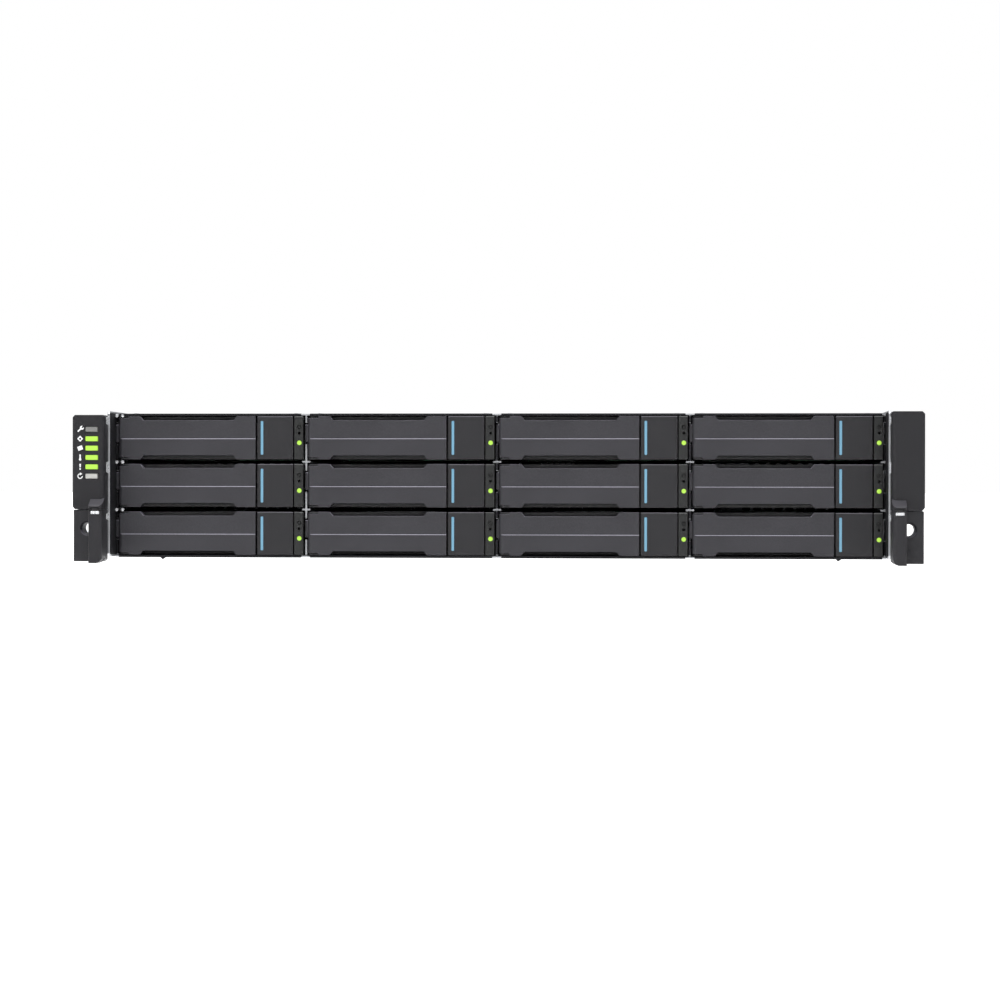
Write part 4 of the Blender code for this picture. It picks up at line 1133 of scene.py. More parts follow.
def ledge_studs():
    """Pairs of bright pin heads at the ends of the left wall's ledges."""
    studs = []
    profile = [(1.0, 0.8), (1.0, 0.1), (0.72, -0.45), (0.0, -0.7)]
    for z in (LEDGE_HEIGHTS[0], LEDGE_HEIGHTS[1], CAGE_TOP - 0.9):
        for x in (-220.8, -217.3):
            studs.append(turned(profile, "Y", (x, BAY_FACE + 0.2, z - 0.25), 18))
            studs.append(rod((x, BAY_FACE + 0.9, z - 0.25), "Y", 3.2, 0.5, 12))
    return grouped(*studs)


def ledge_caps():
    """Black sleeves over the left wall's ledges, between their pin heads."""
    caps = []
    for z in LEDGE_HEIGHTS[:2]:
        caps.append(block((-220.0, BAY_FACE + 0.9, z - 1.1), (-216.4, BAY_FACE + 3.8, z + 0.9), 0.2, 1))
    return grouped(*caps)


def edge_tips():
    """Two small locating tips under the floor's front edge."""
    tips = []
    for x in (-194.0, 194.5):
        low = FLOOR_LOW - 1.3
        outline = [(x - 1.4, FLOOR_LOW), (x - 0.2, low), (x + 0.4, low), (x + 2.2, FLOOR_LOW)]
        tips.append(prism(outline, "XZ", BAY_FACE + 1.0, BAY_FACE + 2.2, 0.15, 1))
    return grouped(*tips)


def make_trims():
    pieces = (
        ("edge_clips", edge_clips(), TRIM_BLACK, "ear_black"),
        ("front_trims", front_trims(), TRIM_BLACK, "ear_black"),
        # The two bracket films are painted shade: near-black sheets on the brackets' inner faces.
        ("bracket_shade_film_left", bracket_shade_film(-1.0), TRIM_BLACK, "ear_black"),
        ("bracket_shade_film_right", bracket_shade_film(1.0), TRIM_BLACK, "ear_black"),
        ("ledge_studs", ledge_studs(), BRIGHT_STEEL, "zinc_steel"),
        ("floor_edge_tips", edge_tips(), TRIM_BLACK, "ear_black"),
        ("ledge_caps", ledge_caps(), TRIM_BLACK, "ear_black"),
    )
    for name, solid, material, slot in pieces:
        add_piece(name, solid, material, "chassis")


make_trims()

# ---------------------------------------------------------------- sheet metal
BODY_BACK = node_box("top_cover")[1].y
REAR_FACE = BODY_BACK + 1.8
FLOOR_TOP = 4.0
PARTITION_X = 134.0
SHELF_Z = 44.5
REAR_BAY_FRONT = EAR_FACE + 232.0
DIVIDER_BACK = EAR_FACE + 217.0
FOOT_PLACES = [(x, EAR_FACE + y) for x in (-180.0, 180.0) for y in (142.0, 455.0)]
COVER_FRONT = EAR_FACE + 78.0
COVER_LOW = 86.2
COVER_TOP = 87.0


def hex_field(plane, low, high, start, end, pitch, radius):
    """Hexagonal holes in staggered rows over an area, as one set of cutters."""
    (left, bottom), (right, top) = low, high
    first, second, third = ORDER[plane]
    rise = pitch * 0.866
    bm = bmesh.new()
    for row in range(int((top - bottom) / rise + 0.001) + 1):
        shift = pitch / 2 if row % 2 else 0.0
        for index in range(int((right - left - shift) / pitch + 0.001) + 1):
            rings = []
            for depth in (start, end):
                ring = []
                for step in range(6):
                    angle = tau * step / 6 + pi / 6
                    point = [0.0, 0.0, 0.0]
                    point[first] = left + shift + index * pitch + radius * cos(angle)
                    point[second] = bottom + row * rise + radius * sin(angle)
                    point[third] = depth
                    ring.append(bm.verts.new(point))
                rings.append(ring)
            for step in range(6):
                after = (step + 1) % 6
                bm.faces.new((rings[0][step], rings[0][after], rings[1][after], rings[1][step]))
            bm.faces.new(rings[0])
            bm.faces.new(rings[1])
    return solid_from(bm)


def wall_outline(back, low, high):
    front = BAY_FACE + 4.0
    outline = [(front, low)]
    for row in range(ROWS):
        bezel = ROW_LOW + row * ROW_PITCH
        outline += [(front, bezel + NOTCH_LOW), (front + 12.0, bezel + NOTCH_LOW)]
        outline += [(front + 12.0, bezel + NOTCH_HIGH), (front, bezel + NOTCH_HIGH)]
    return [*outline, (front, high), (back, high), (back, low)]


def side_wall(side):
    left, right = span(side, WALL_IN, WALL_OUT)
    wall = prism(wall_outline(BODY_BACK, FLOOR_LOW, CAGE_TOP), "YZ", left, right)
    return cut(wall, hex_field("YZ", (62.0, 22.0), (226.0, 62.0), left - 1.0, right + 1.0, 8.0, 3.1))


def wall_bead(side, low, high):
    """A shallow rib pressed outwards in a side wall."""
    radius = (high - low) / 2.05
    reach = span(side, WALL_OUT - 0.05, WALL_OUT + 0.55)
    return slab("YZ", (-150.0, low), (232.0, high), radius, 5, *reach, 0.3, 2)


def chassis_shell():
    floor = block((-WALL_OUT, BAY_FACE + 1.0, FLOOR_LOW), (WALL_OUT, BODY_BACK, FLOOR_TOP))
    for left in (-118.0, 12.0):
        floor = cut(floor, hex_field("XY", (left, 96.0), (left + 104.0, 206.0), 2.0, 5.0, 9.0, 3.4))
    half = 0.5
    solids = [side_wall(side) for side in SIDES]
    for side in SIDES:
        left, right = span(side, WALL_IN + 0.1, WALL_IN + half - 2.3)
        for z in LEDGE_HEIGHTS:
            solids.append(block((left, BAY_FACE + 4.0, z - half), (right, DIVIDER_BACK, z + half)))
        x = side * PARTITION_X
        low, high = FLOOR_TOP - 0.1, CAGE_TOP - 1.0
        solids.append(block((x - half, REAR_BAY_FRONT, low), (x + half, BODY_BACK, high)))
        solids += [wall_bead(side, 9.0, 13.0), wall_bead(side, 68.5, 72.5)]
    reach = PARTITION_X - 0.4
    solids.append(block((-reach, REAR_BAY_FRONT, SHELF_Z - half), (reach, BODY_BACK, SHELF_Z + half)))
    for y in (-150.0, -90.0, -30.0, 40.0):
        rib = slab("XY", (-170.0, y), (170.0, y + 9.0), 4.4, 5, FLOOR_LOW - 0.6, FLOOR_LOW + 0.1, 0.3, 2)
        solids.append(rib)
    return fused(floor, *solids)


def foot_solid():
    """A rubber foot with a recess for its screw."""
    profile = [(0.0, 1.5), (2.8, 1.5), (2.8, 0.1), (3.4, 0.0), (6.4, 0.0), (7.1, 0.7), (9.1, 3.1)]
    return turned([*profile, (9.1, 3.25), (0.0, 3.25)], sides=32)


def wall_rivets():
    heads = []
    for side in SIDES:
        for y in (-165.0, -125.0, -60.0, 0.0, 52.0, 120.0, 180.0, 240.0):
            if y < 50.0 or y > 230.0:
                heads += [rivet((side * WALL_OUT, y, z), "X", 2.3, 0.8, side < 0) for z in (17.5, 65.0)]
            heads.append(rivet((side * WALL_OUT, y, 6.2), "X", 1.8, 0.7, side < 0))
    return grouped(*heads)


def rail_studs():
    """Shoulder studs on the side walls, which hook into a rack's slide rails."""
    profile = [(4.4, 0.0), (4.4, 0.8), (2.6, 1.0), (2.6, 3.0), (4.6, 3.2), (4.6, 4.2), (4.0, 4.7)]
    profile += [(1.6, 4.7), (1.6, 3.6, 1), (0.0, 3.6)]
    studs = []
    for side in SIDES:
        points = [(radius, side * height, *lobed) for radius, height, *lobed in profile]
        for y in (-110.0, 40.0, 200.0):
            studs.append(turned(points, "X", (side * (WALL_OUT - 0.1), y, 41.0), 28, 6, 0.12))
    return grouped(*studs)


def rear_flanges():
    """Folded edges round the openings at the back."""
    front, back = BODY_BACK - 0.4, BODY_BACK + 0.9
    solids = []
    for x in (-PARTITION_X, PARTITION_X):
        solids.append(block((x - 0.7, front, 5.0), (x + 0.7, back, 84.5), 0.2, 1))
    solids.append(block((-132.5, front, SHELF_Z - 0.6), (132.5, back, SHELF_Z + 0.6), 0.2, 1))
    for side in SIDES:
        left, right = span(side, 220.1, 221.5)
        solids.append(block((left, front, 5.0), (right, back, 84.5), 0.2, 1))
    return grouped(*solids)


def cage_rivets():
    heads = []
    for y in (BAY_FACE + 14.0, BAY_FACE + 42.0):
        for x in (-212.0, *[x + shift for x in DIVIDERS for shift in (-7.0, 7.0)], 212.0):
            heads.append(rivet((x, y, CAGE_TOP), "Z", 2.2, 0.8))
    return grouped(*heads)


def cage_beads():
    """Shallow ribs on the cage's roof in front of the top cover, two over each column of bays."""
    ribs = []
    low, high = CAGE_TOP - 0.1, CAGE_TOP + 0.55
    for column in range(COLUMNS):
        x = (column - 1.5) * COLUMN_PITCH
        for y in (BAY_FACE + 18.0, BAY_FACE + 32.0):
            ribs.append(slab("XY", (x - 36.0, y), (x + 36.0, y + 6.0), 2.9, 5, low, high, 0.3, 2))
    return grouped(*ribs)


def cover_panel():
    """The top cover: a folded sheet with ribs, vents, countersinks and an opening for its latch."""
    out, inner = 222.7, 221.9
    right = [(out, 76.0)] + arc((out - 1.2, COVER_TOP - 1.2), 1.2, 0.0, 90.0, 4)
    right_in = arc((inner - 0.4, COVER_LOW - 0.4), 0.4, 90.0, 0.0, 2) + [(inner, 76.0)]
    left, left_in = [[(-x, z) for x, z in reversed(half)] for half in (right, right_in)]
    panel = prism([*right, *left, *left_in, *right_in], "XZ", COVER_FRONT, BODY_BACK)
    ribs = []
    for y in (-138.0, -112.0, -86.0, -60.0):
        for x in (-196.0, 14.0):
            rib = slab("XY", (x, y), (x + 182.0, y + 8.0), 3.9, 5, COVER_TOP - 0.1, COVER_TOP + 0.2, 0.12, 1)
            ribs.append(rib)
    low, high = COVER_LOW - 1.0, COVER_TOP + 1.0
    cutters = [slab("XY", (-45.0, 22.0), (45.0, 58.0), 5.0, 5, low, high)]
    for start, end, front in ((-118.0, 118.0, 150.0), (-206.0, -150.0, 176.0), (150.0, 206.0, 176.0)):
        cutters.append(hex_field("XY", (start, front), (end, 232.0), low, high, 8.0, 3.1))
    for x, y in cover_screw_places():
        cutters.append(cap("Z", (x, y, COVER_TOP), 4.2, 1.0, 0.0, 2.4, -0.5, 24))
    return cut(fused(panel, *ribs), *cutters)


def cover_screw_places():
    places = [(x, y) for x in (-212.0, 212.0) for y in (-160.0, -30.0, 100.0, 240.0)]
    return places + [(-70.0, -160.0), (70.0, -160.0), (-134.0, 240.0), (134.0, 240.0)]


def cover_screws():
    return grouped(*[screw((x, y, COVER_TOP - 0.5), "Z", 3.1, 0.55) for x, y in cover_screw_places()])


def cover_latch():
    """The cover's flush latch: a lever in a tray, with a finger well at its free end."""
    top = COVER_TOP
    tray = slab("XY", (-44.6, 22.4), (44.6, 57.6), 4.7, 5, COVER_LOW - 1.3, top, 0.3, 2)
    groove = slab("XY", (-40.0, 26.5), (40.0, 53.5), 3.0, 4, top - 0.8, top + 1.0)
    well = slab("XY", (14.0, 29.0), (37.5, 51.0), 3.0, 4, top - 1.7, top + 1.0)
    lever = slab("XY", (-39.2, 27.4), (20.0, 52.6), 2.6, 4, top - 0.9, top + 0.05, 0.3, 2)
    grips = []
    for index in range(5):
        x = 4.0 + index * 2.8
        grips.append(block((x, 31.0, top - 0.1), (x + 1.3, 49.0, top + 0.18), 0.12, 1))
    return fused(cut(tray, groove, well), lever, *grips)


def cover_latch_lock():
    """The quarter-turn lock in the cover's latch."""
    knob = cap("Z", (-28.0, 40.0, COVER_TOP - 0.35), 5.2, 0.0, 0.35, 4.8, 0.5, 32)
    return cut(knob, block((-32.0, 39.3, COVER_TOP - 0.05), (-24.0, 40.7, COVER_TOP + 1.0)))


def cover_label():
    return slab("XY", (-196.0, 22.0), (-96.0, 92.0), 2.0, 3, COVER_TOP - 0.02, COVER_TOP + 0.06)


def cover_label_ink():
    """Outline drawings on the label: the twelve bays in one box, and an arrow in the other."""
    low, high = COVER_TOP + 0.05, COVER_TOP + 0.1
    marks = []
    for x in (-190.0, -143.0):
        box = slab("XY", (x, 28.0), (x + 40.0, 60.0), 1.0, 2, low, high)
        inner = slab("XY", (x + 0.7, 28.7), (x + 39.3, 59.3), 0.6, 2, low - 1, high + 1)
        marks.append(cut(box, inner))
    for column in range(COLUMNS):
        for row in range(ROWS):
            x, y = -187.0 + column * 8.8, 31.0 + row * 5.0
            marks.append(block((x, y, low), (x + 7.6, y + 3.6, high)))
    arrow = [(-126.0, 34.0), (-120.0, 34.0), (-120.0, 46.0), (-116.5, 46.0), (-123.0, 54.0)]
    marks.append(prism([*arrow, (-129.5, 46.0), (-126.0, 46.0)], "XY", low, high))
    for index in range(6):
        width, y = (88.0 if index % 3 else 60.0), index * 3.6
        marks.append(block((-190.0, 68.0 + y, low), (-190.0 + width, 69.2 + y, high)))
    return grouped(*marks)


def make_sheet_metal():
    shell = chassis_shell()
    add_piece("chassis_shell", shell, ZINC_STEEL, "chassis", (), ("chassis_base",))
    foot = mesh_of(foot_solid(), RUBBER_BLACK)
    fixing = mesh_of(screw((0.0, 0.0, 1.6), "Z", 2.5, 0.9, flip=True), SCREW_STEEL)
    for index, (x, y) in enumerate(FOOT_PLACES):
        put(f"rubber_foot_{index + 1}", foot, "chassis", (x, y, 0.0))
        put(f"foot_screw_{index + 1}", fixing, "chassis", (x, y, 0.0))
    pieces = (
        ("wall_rivets", wall_rivets(), SCREW_STEEL, "chassis", "zinc_steel"),
        ("rail_studs", rail_studs(), BRIGHT_STEEL, "chassis", "zinc_steel"),
        ("rear_flanges", rear_flanges(), COVER_STEEL, "chassis", "zinc_steel"),
        ("cage_rivets", cage_rivets(), SCREW_STEEL, "chassis", "zinc_steel"),
        ("cage_beads", cage_beads(), ZINC_STEEL, "chassis", "zinc_steel"),
        ("top_cover_panel", cover_panel(), COVER_STEEL, "top_cover", "zinc_steel", "top_cover"),
        ("cover_screws", cover_screws(), SCREW_STEEL, "top_cover", "zinc_steel"),
        ("cover_latch", cover_latch(), HANDLE_BLACK, "top_cover", "handle_black"),
        ("cover_latch_lock", cover_latch_lock(), LATCH_BLUE, "top_cover", "latch_blue"),
        ("cover_label", cover_label(), LABEL_WHITE, "top_cover", "ink_white"),
        ("cover_label_ink", cover_label_ink(), LABEL_GREY, "top_cover", "ink_white"),
    )
    for name, solid, material, body, slot, *replaced in pieces:
        add_piece(name, solid, material, body, (), replaced)
    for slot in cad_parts["drive_cage"].material_slots:
        slot.material = ZINC_STEEL


# ---------------------------------------------------------------- midplane
MIDPLANE_FRONT = EAR_FACE + 220.0
MIDPLANE_BACK = EAR_FACE + 223.0
MIDPLANE_EDGE = WALL_IN - 0.8


def midplane_board():
    low, high = (-MIDPLANE_EDGE, MIDPLANE_FRONT, 4.5), (MIDPLANE_EDGE, MIDPLANE_BACK, 84.7)
    cutters = []
    for column in range(COLUMNS):
        x = (column - 1.5) * COLUMN_PITCH
        for z in LEDGE_HEIGHTS:
            corners = (x - 40.0, z - 3.5), (x + 40.0, z + 3.5)
            cutters.append(slab("XZ", *corners, 1.5, 3, MIDPLANE_FRONT - 1.0, MIDPLANE_BACK + 1.0))
    return cut(block(low, high, 0.15, 1), *cutters)


def midplane_sockets():
    """The twelve drive sockets on the midplane's front, and the canisters' sockets on its back."""
    solids = []
    for column in range(COLUMNS):
        for row in range(ROWS):
            x, z = (column - 2) * COLUMN_PITCH, ROW_LOW + row * ROW_PITCH
            body = block((x + 61.0, -37.0, z + 1.8), (x + 101.0, MIDPLANE_FRONT + 0.1, z + 6.2), 0.3, 1)
            mouth = block((x + 62.6, -38.0, z + 3.0), (x + 99.4, -34.0, z + 4.6))
            solids.append(cut(body, mouth))
    for z in CANISTER_LOWS.values():
        for x in (-95.0, 37.0):
            solids.append(block((x, MIDPLANE_BACK - 0.1, z + 5.0), (x + 58.0, -14.0, z + 22.0), 0.5, 2))
    return grouped(*solids)


def midplane_capacitors():
    """Round capacitors on the midplane's back."""
    cans = []
    for x in (-120.0, -18.0, -6.0, 6.0, 18.0, 120.0):
        for z in (10.0, 76.0):
            cans.append(cap("Y", (x, MIDPLANE_BACK - 0.1, z), 3.4, 0.0, 6.6, 3.0, 7.2, 20))
    return grouped(*cans)


def make_midplane():
    pieces = (
        ("midplane_board", midplane_board(), BOARD_GREEN, "board_green", "midplane"),
        ("midplane_sockets", midplane_sockets(), CHIP_BLACK, "fan_black"),
        ("midplane_capacitors", midplane_capacitors(), HEAT_ALLOY, "zinc_steel"),
    )
    for name, solid, material, slot, *replaced in pieces:
        add_piece(name, solid, material, "chassis", (), replaced)


# ---------------------------------------------------------------- controllers
CANISTER_HALF = 132.9
CANISTER_FRONT = EAR_FACE + 236.0
CANISTER_HEIGHT = 39.2
CANISTER_LOWS = {"lower": 4.4, "upper": 45.4}
PLATE_FRONT = REAR_FACE - 1.5
PORTS = [(x, 14.0, 9.6) for x in (-100.0, -82.0, -64.0, -46.0)] + [(x, 12.0, 9.0) for x in (-20.0, -4.0)]
PORT_Z = 25.0
PORT_DEPTH = 13.0
EJECTOR_X = 126.0
EJECTOR_Y = REAR_FACE + 3.4
EJECTOR_Z = 8.5
EJECTOR_LENGTH = 118.0
EJECTOR_RADIUS = 2.6
SEAT_Z = 4.7
MEMORY_XS = (-116.0, -105.0, -94.0, -83.0)
CHIPS = (
    (-20.0, 30.0, 22.0, 2.2),
    (14.0, 30.0, 18.0, 2.0),
    (-40.0, 176.0, 26.0, 3.0),
    (4.0, 178.0, 20.0, 2.2),
    (34.0, 178.0, 14.0, 1.6),
    (70.0, 205.0, 24.0, 2.4),
    (104.0, 208.0, 16.0, 2.0),
    (92.0, 30.0, 16.0, 1.8),
)


def canister_tray():
    half, front, back = CANISTER_HALF, CANISTER_FRONT, PLATE_FRONT + 0.2
    floor = block((-half, front, 0.0), (half, back, 1.2), 0.2, 1)
    outline = [(front, 0.6), (front, 30.0), (front + 8.0, 38.8), (back, 38.8), (back, 0.6)]
    walls = []
    for side in SIDES:
        left, right = span(side, half, half - 1.0)
        vents = hex_field("YZ", (110.0, 12.0), (230.0, 32.0), left - 1.0, right + 1.0, 7.0, 2.6)
        walls.append(cut(prism(outline, "YZ", left, right), vents))
    return fused(floor, *walls)


def port_corners(port, inset=0.0):
    """A port's two corners in the rear plate, moved inwards by an inset."""
    x, width, height = port
    across, up = width / 2 - inset, height / 2 - inset
    return (x - across, PORT_Z - up), (x + across, PORT_Z + up)


def tongue_top(port):
    """The height of the top of the tongue in a port: the wide ports have a thin one."""
    return PORT_Z - 0.3 if port[1] > 13.0 else PORT_Z + 0.8


def canister_plate():
    """A controller's rear plate: port openings, two fields of vents and the lever's two lugs."""
    low = (-CANISTER_HALF - 0.3, PLATE_FRONT, 0.0)
    plate = block(low, (CANISTER_HALF + 0.3, REAR_FACE, CANISTER_HEIGHT), 0.35, 2)
    reach = PLATE_FRONT - 1.0, REAR_FACE + 1.0
    cutters = [slab("XZ", *port_corners(port), 0.6, 2, *reach) for port in PORTS]
    for left, right in ((14.0, 112.0), (-122.0, -112.0)):
        cutters.append(hex_field("XZ", (left, 17.5), (right, 34.5), *reach, 5.2, 2.1))
    outline = [(EJECTOR_X - 3.0, REAR_FACE - 0.1), (EJECTOR_X + 3.0, REAR_FACE - 0.1)]
    outline += arc((EJECTOR_X, REAR_FACE + 3.0), 3.0, 0.0, 180.0, 8)
    lugs = [prism(outline, "XY", z, z + 1.2, 0.15, 1) for z in (EJECTOR_Z - 5.5, EJECTOR_Z + 4.3)]
    return fused(cut(plate, *cutters), *lugs)


def port_shells():
    """The pressed steel cages round the ports, each with two spring fingers."""
    shells = []
    front = REAR_FACE - PORT_DEPTH
    for port in PORTS:
        shell = slab("XZ", *port_corners(port), 0.6, 2, front, REAR_FACE + 0.45)
        inner = slab("XZ", *port_corners(port, 0.5), 0.4, 2, front + 0.5, REAR_FACE + 2.0)
        shells.append(cut(shell, inner))
        top = PORT_Z + port[2] / 2 - 0.4
        finger = [(REAR_FACE - 4.0, top), (REAR_FACE + 0.2, top), (REAR_FACE - 1.2, top - 0.9)]
        for x in (port[0] - 3.0, port[0] + 3.0):
            shells.append(prism(finger, "YZ", x - 0.9, x + 0.9))
    return grouped(*shells)


def port_cores():
    """The black core of each port: its back wall, and the tongue that carries the contacts."""
    cores = []
    front = REAR_FACE - PORT_DEPTH + 0.6
    for port in PORTS:
        (left, low), (right, high) = port_corners(port, 0.7)
        cores.append(block((left, front, low), (right, front + 2.0, high), 0.1, 1))
        start, end = (left + 1.9, front, PORT_Z - 1.8), (right - 1.9, REAR_FACE - 2.5, tongue_top(port))
        cores.append(block(start, end, 0.2, 1))
    return grouped(*cores)


def port_contacts():
    strips = []
    for port in PORTS:
        x, width, _ = port
        count = 8 if width > 13.0 else 5
        pitch = (width - 6.4) / (count - 1)
        top = tongue_top(port)
        for index in range(count):
            left = x - width / 2 + 3.2 + index * pitch - 0.22
            start, end = (left, REAR_FACE - 11.0, top - 0.1), (left + 0.44, REAR_FACE - 2.8, top + 0.12)
            strips.append(block(start, end))
    return grouped(*strips)


def port_lights(lit):
    """The small lenses over the ports and beside the reset button; every third one is unlit."""
    places = [(port[0] + shift, 33.2) for port in PORTS for shift in (-4.0, 4.0)]
    places += [(-30.0, 10.0), (-22.0, 10.0)]
    lenses = []
    for index, (x, z) in enumerate(places):
        if (index % 3 != 2) == lit:
            lenses.append(cap("Y", (x, REAR_FACE, z), 0.95, -1.7, 0.05, 0.7, 0.2, 16, 0.22))
    return grouped(*lenses)


def plate_marks():
    """Blank printed rules and triangles under the ports, and a ring beside the reset button."""
    low, high = REAR_FACE - 0.02, REAR_FACE + 0.05
    marks = []
    for x, width, _ in PORTS:
        half = width / 2 - 1.0
        marks.append(block((x - half, low, 16.9), (x + half, high, 17.35)))
        marks.append(prism([(x - 0.8, 15.2), (x + 0.8, 15.2), (x, 16.4)], "XZ", low, high))
    ring = cut(rod((-36.0, low, 10.0), "Y", 0.07, 1.5, 20), rod((-36.0, low - 1.0, 10.0), "Y", 3.0, 1.1, 20))
    return grouped(*marks, ring)


def plate_screws():
    places = [(x, z) for x in (-128.5, 5.5) for z in (5.0, 35.0)] + [(128.5, 35.0)]
    return grouped(*[screw((x, REAR_FACE - 0.05, z), "Y", 2.3, 1.2) for x, z in places])


def reset_button():
    place = (-46.0, REAR_FACE, 10.0)
    button = cap("Y", place, 1.7, -1.6, 0.3, 1.4, 0.6, 20)
    collar = turned([(2.5, 0.0), (2.5, 0.25), (1.8, 0.35), (1.8, -0.2), (2.5, -0.2)], "Y", place, 20)
    return grouped(button, collar)


def port_block():
    """The carrier that holds a controller's ports above its board."""
    body = block((-108.0, REAR_FACE - 17.0, 4.7), (3.5, PLATE_FRONT - 0.1, 34.0), 0.5, 2)
    cutters = []
    for port in PORTS:
        (left, low), (right, high) = port_corners(port, -0.05)
        front = REAR_FACE - PORT_DEPTH - 0.1
        cutters.append(block((left, front, low), (right, REAR_FACE + 1.0, high)))
    for index in range(9):
        x = -102.0 + index * 12.4
        cutters.append(block((x, REAR_FACE - 18.0, 8.0), (x + 5.0, REAR_FACE - 16.4, 31.0)))
    return cut(body, *cutters)


SMALL_PART_FIELDS = (
    (-60.0, 66.0, 4, 18, 4.2, 4.6),
    (-36.0, 20.0, 3, 3, 4.4, 3.2),
    (-8.0, 150.0, 9, 2, 4.2, 3.4),
    (44.0, 66.0, 3, 9, 4.0, 8.0),
    (-36.0, 206.0, 8, 4, 4.4, 4.4),
    (-104.0, 180.0, 12, 6, 4.6, 5.0),
    (30.0, 196.0, 8, 3, 4.2, 3.6),
    (118.0, 80.0, 2, 22, 4.4, 5.0),
    (-66.0, 176.0, 4, 6, 4.4, 4.8),
)


def on_board(x, y, width, depth, low, high, *bevel):
    """A block over a controller's board, with Y counted from the canister's front edge."""
    y += CANISTER_FRONT
    return block((x, y, low), (x + width, y + depth, high), *bevel)


def small_parts(tan):
    """The chip capacitors (tan) or the resistors on a controller's board, in groups."""
    solids = []
    for group, (x0, y0, columns, rows, step_x, step_y) in enumerate(SMALL_PART_FIELDS):
        for number in range(columns * rows):
            column, row = number % columns, number // columns
            kind = (column * 3 + row * 5 + group) % 7
            if kind == 6 or (kind < 3) != tan:
                continue
            size = ((2.6, 1.4), (1.4, 2.6))[(row + group) % 2]
            place = x0 + column * step_x, y0 + row * step_y
            solids.append(on_board(*place, *size, SEAT_Z, 5.6 if tan else 5.3))
    return grouped(*solids)


def canister_board():
    board = block((-129.0, CANISTER_FRONT + 3.0, 3.2), (129.0, PLATE_FRONT - 0.5, 4.8), 0.1, 1)
    mounts = [rod((x, y, 1.1), "Z", 2.2, 2.8, 6) for x in (-122.0, 0.0, 122.0) for y in (2.0, 120.0, 238.0)]
    return fused(board, *mounts)


def heat_sink():
    fins = [on_board(-39.85 + index * 3.94, 60.5, 0.9, 89.0, 8.4, 26.0, 0.15, 1) for index in range(21)]
    return grouped(on_board(-40.0, 60.0, 80.0, 90.0, SEAT_Z, 8.5, 0.4, 1), *fins)


def memory_boards():
    return grouped(*[on_board(x - 0.6, 32.0, 1.2, 133.0, 8.0, 35.0, 0.1, 1) for x in MEMORY_XS])


def memory_chips():
    """The chips on both faces of the memory boards."""
    ys = [37.0 + number * 14.0 for number in range(9)]
    return grouped(*[on_board(x - 1.5, y, 3.0, 10.0, 17.0, 28.0, 0.15, 1) for x in MEMORY_XS for y in ys])


def memory_slots():
    """The memory boards' sockets, with a latch at each end."""
    start, end = CANISTER_FRONT + 26.0, CANISTER_FRONT + 171.0
    slots = []
    for x in MEMORY_XS:
        slots.append(block((x - 3.2, start, SEAT_Z), (x + 3.2, end, 11.0), 0.3, 1))
        for y in (start - 0.5, end - 5.5):
            latch = [(y, 10.0), (y + 6.0, 10.0), (y + 6.0, 22.0), (y + 4.5, 24.5), (y + 1.5, 24.5)]
            latch.append((y, 22.0))
            slots.append(prism(latch, "YZ", x - 1.9, x + 1.9, 0.3, 1))
    return grouped(*slots)


def board_chips():
    """Chips, inductors and the midplane plugs on a controller's board."""
    solids = [on_board(x, 2.0, 60.0, 12.0, SEAT_Z, 24.0, 0.6, 2) for x in (-96.0, 36.0)]
    for x, y, size, tall in CHIPS:
        solids.append(on_board(x, y, size, size, SEAT_Z, 4.8 + tall, 0.4, 1))
    for index in range(6):
        solids.append(on_board(-30.0 + index * 12.0, 158.0, 8.0, 8.0, SEAT_Z, 9.6, 0.8, 2))
    return grouped(*solids)


def board_capacitors():
    """Round capacitors in two rows on a controller's board."""
    places = [(48.0, y) for y in (40.0, 52.0, 150.0, 162.0)] + [(120.0, y) for y in (40.0, 52.0, 64.0)]
    profile = [(4.0, 0.0), (4.2, 0.6), (4.2, 9.6), (3.7, 10.2), (0.0, 10.2)]
    return grouped(*[turned(profile, "Z", (x, CANISTER_FRONT + y, SEAT_Z), 20) for x, y in places])


def cache_battery():
    low, high = (60.0, CANISTER_FRONT + 70.0), (115.0, CANISTER_FRONT + 190.0)
    pack = slab("XY", low, high, 4.0, 4, SEAT_Z, 20.0, 0.9, 3)
    return cut(pack, *[on_board(66.0, 78.0 + index * 3.2, 43.0, 1.4, 19.3, 21.0) for index in range(9)])


def air_shroud():
    """A black duct over the rear of the board, which leads the air from the heat sink to the vents."""
    front, back = CANISTER_FRONT + 192.0, PLATE_FRONT - 12.0
    outline = [(front, 21.0), (front + 26.0, 38.0), (back, 38.0), (back, 36.0), (back - 6.0, 18.0)]
    duct = prism([*outline, (front, 18.0)], "YZ", 9.0, 130.0, 0.6, 2)
    rib = [(front - 0.4, 20.0), (front - 0.4, 21.6), (front + 25.6, 38.5), (front + 29.0, 38.5)]
    rib.append((front + 4.0, 20.0))
    ribs = []
    for index in range(7):
        x = 18.0 + index * 17.0
        ribs.append(prism(rib, "YZ", x - 0.8, x + 0.8, 0.15, 1))
    louvre = block((-130.0, back - 2.0, 8.0), (-110.5, back, 37.0), 0.3, 1)
    return fused(duct, *ribs, louvre)


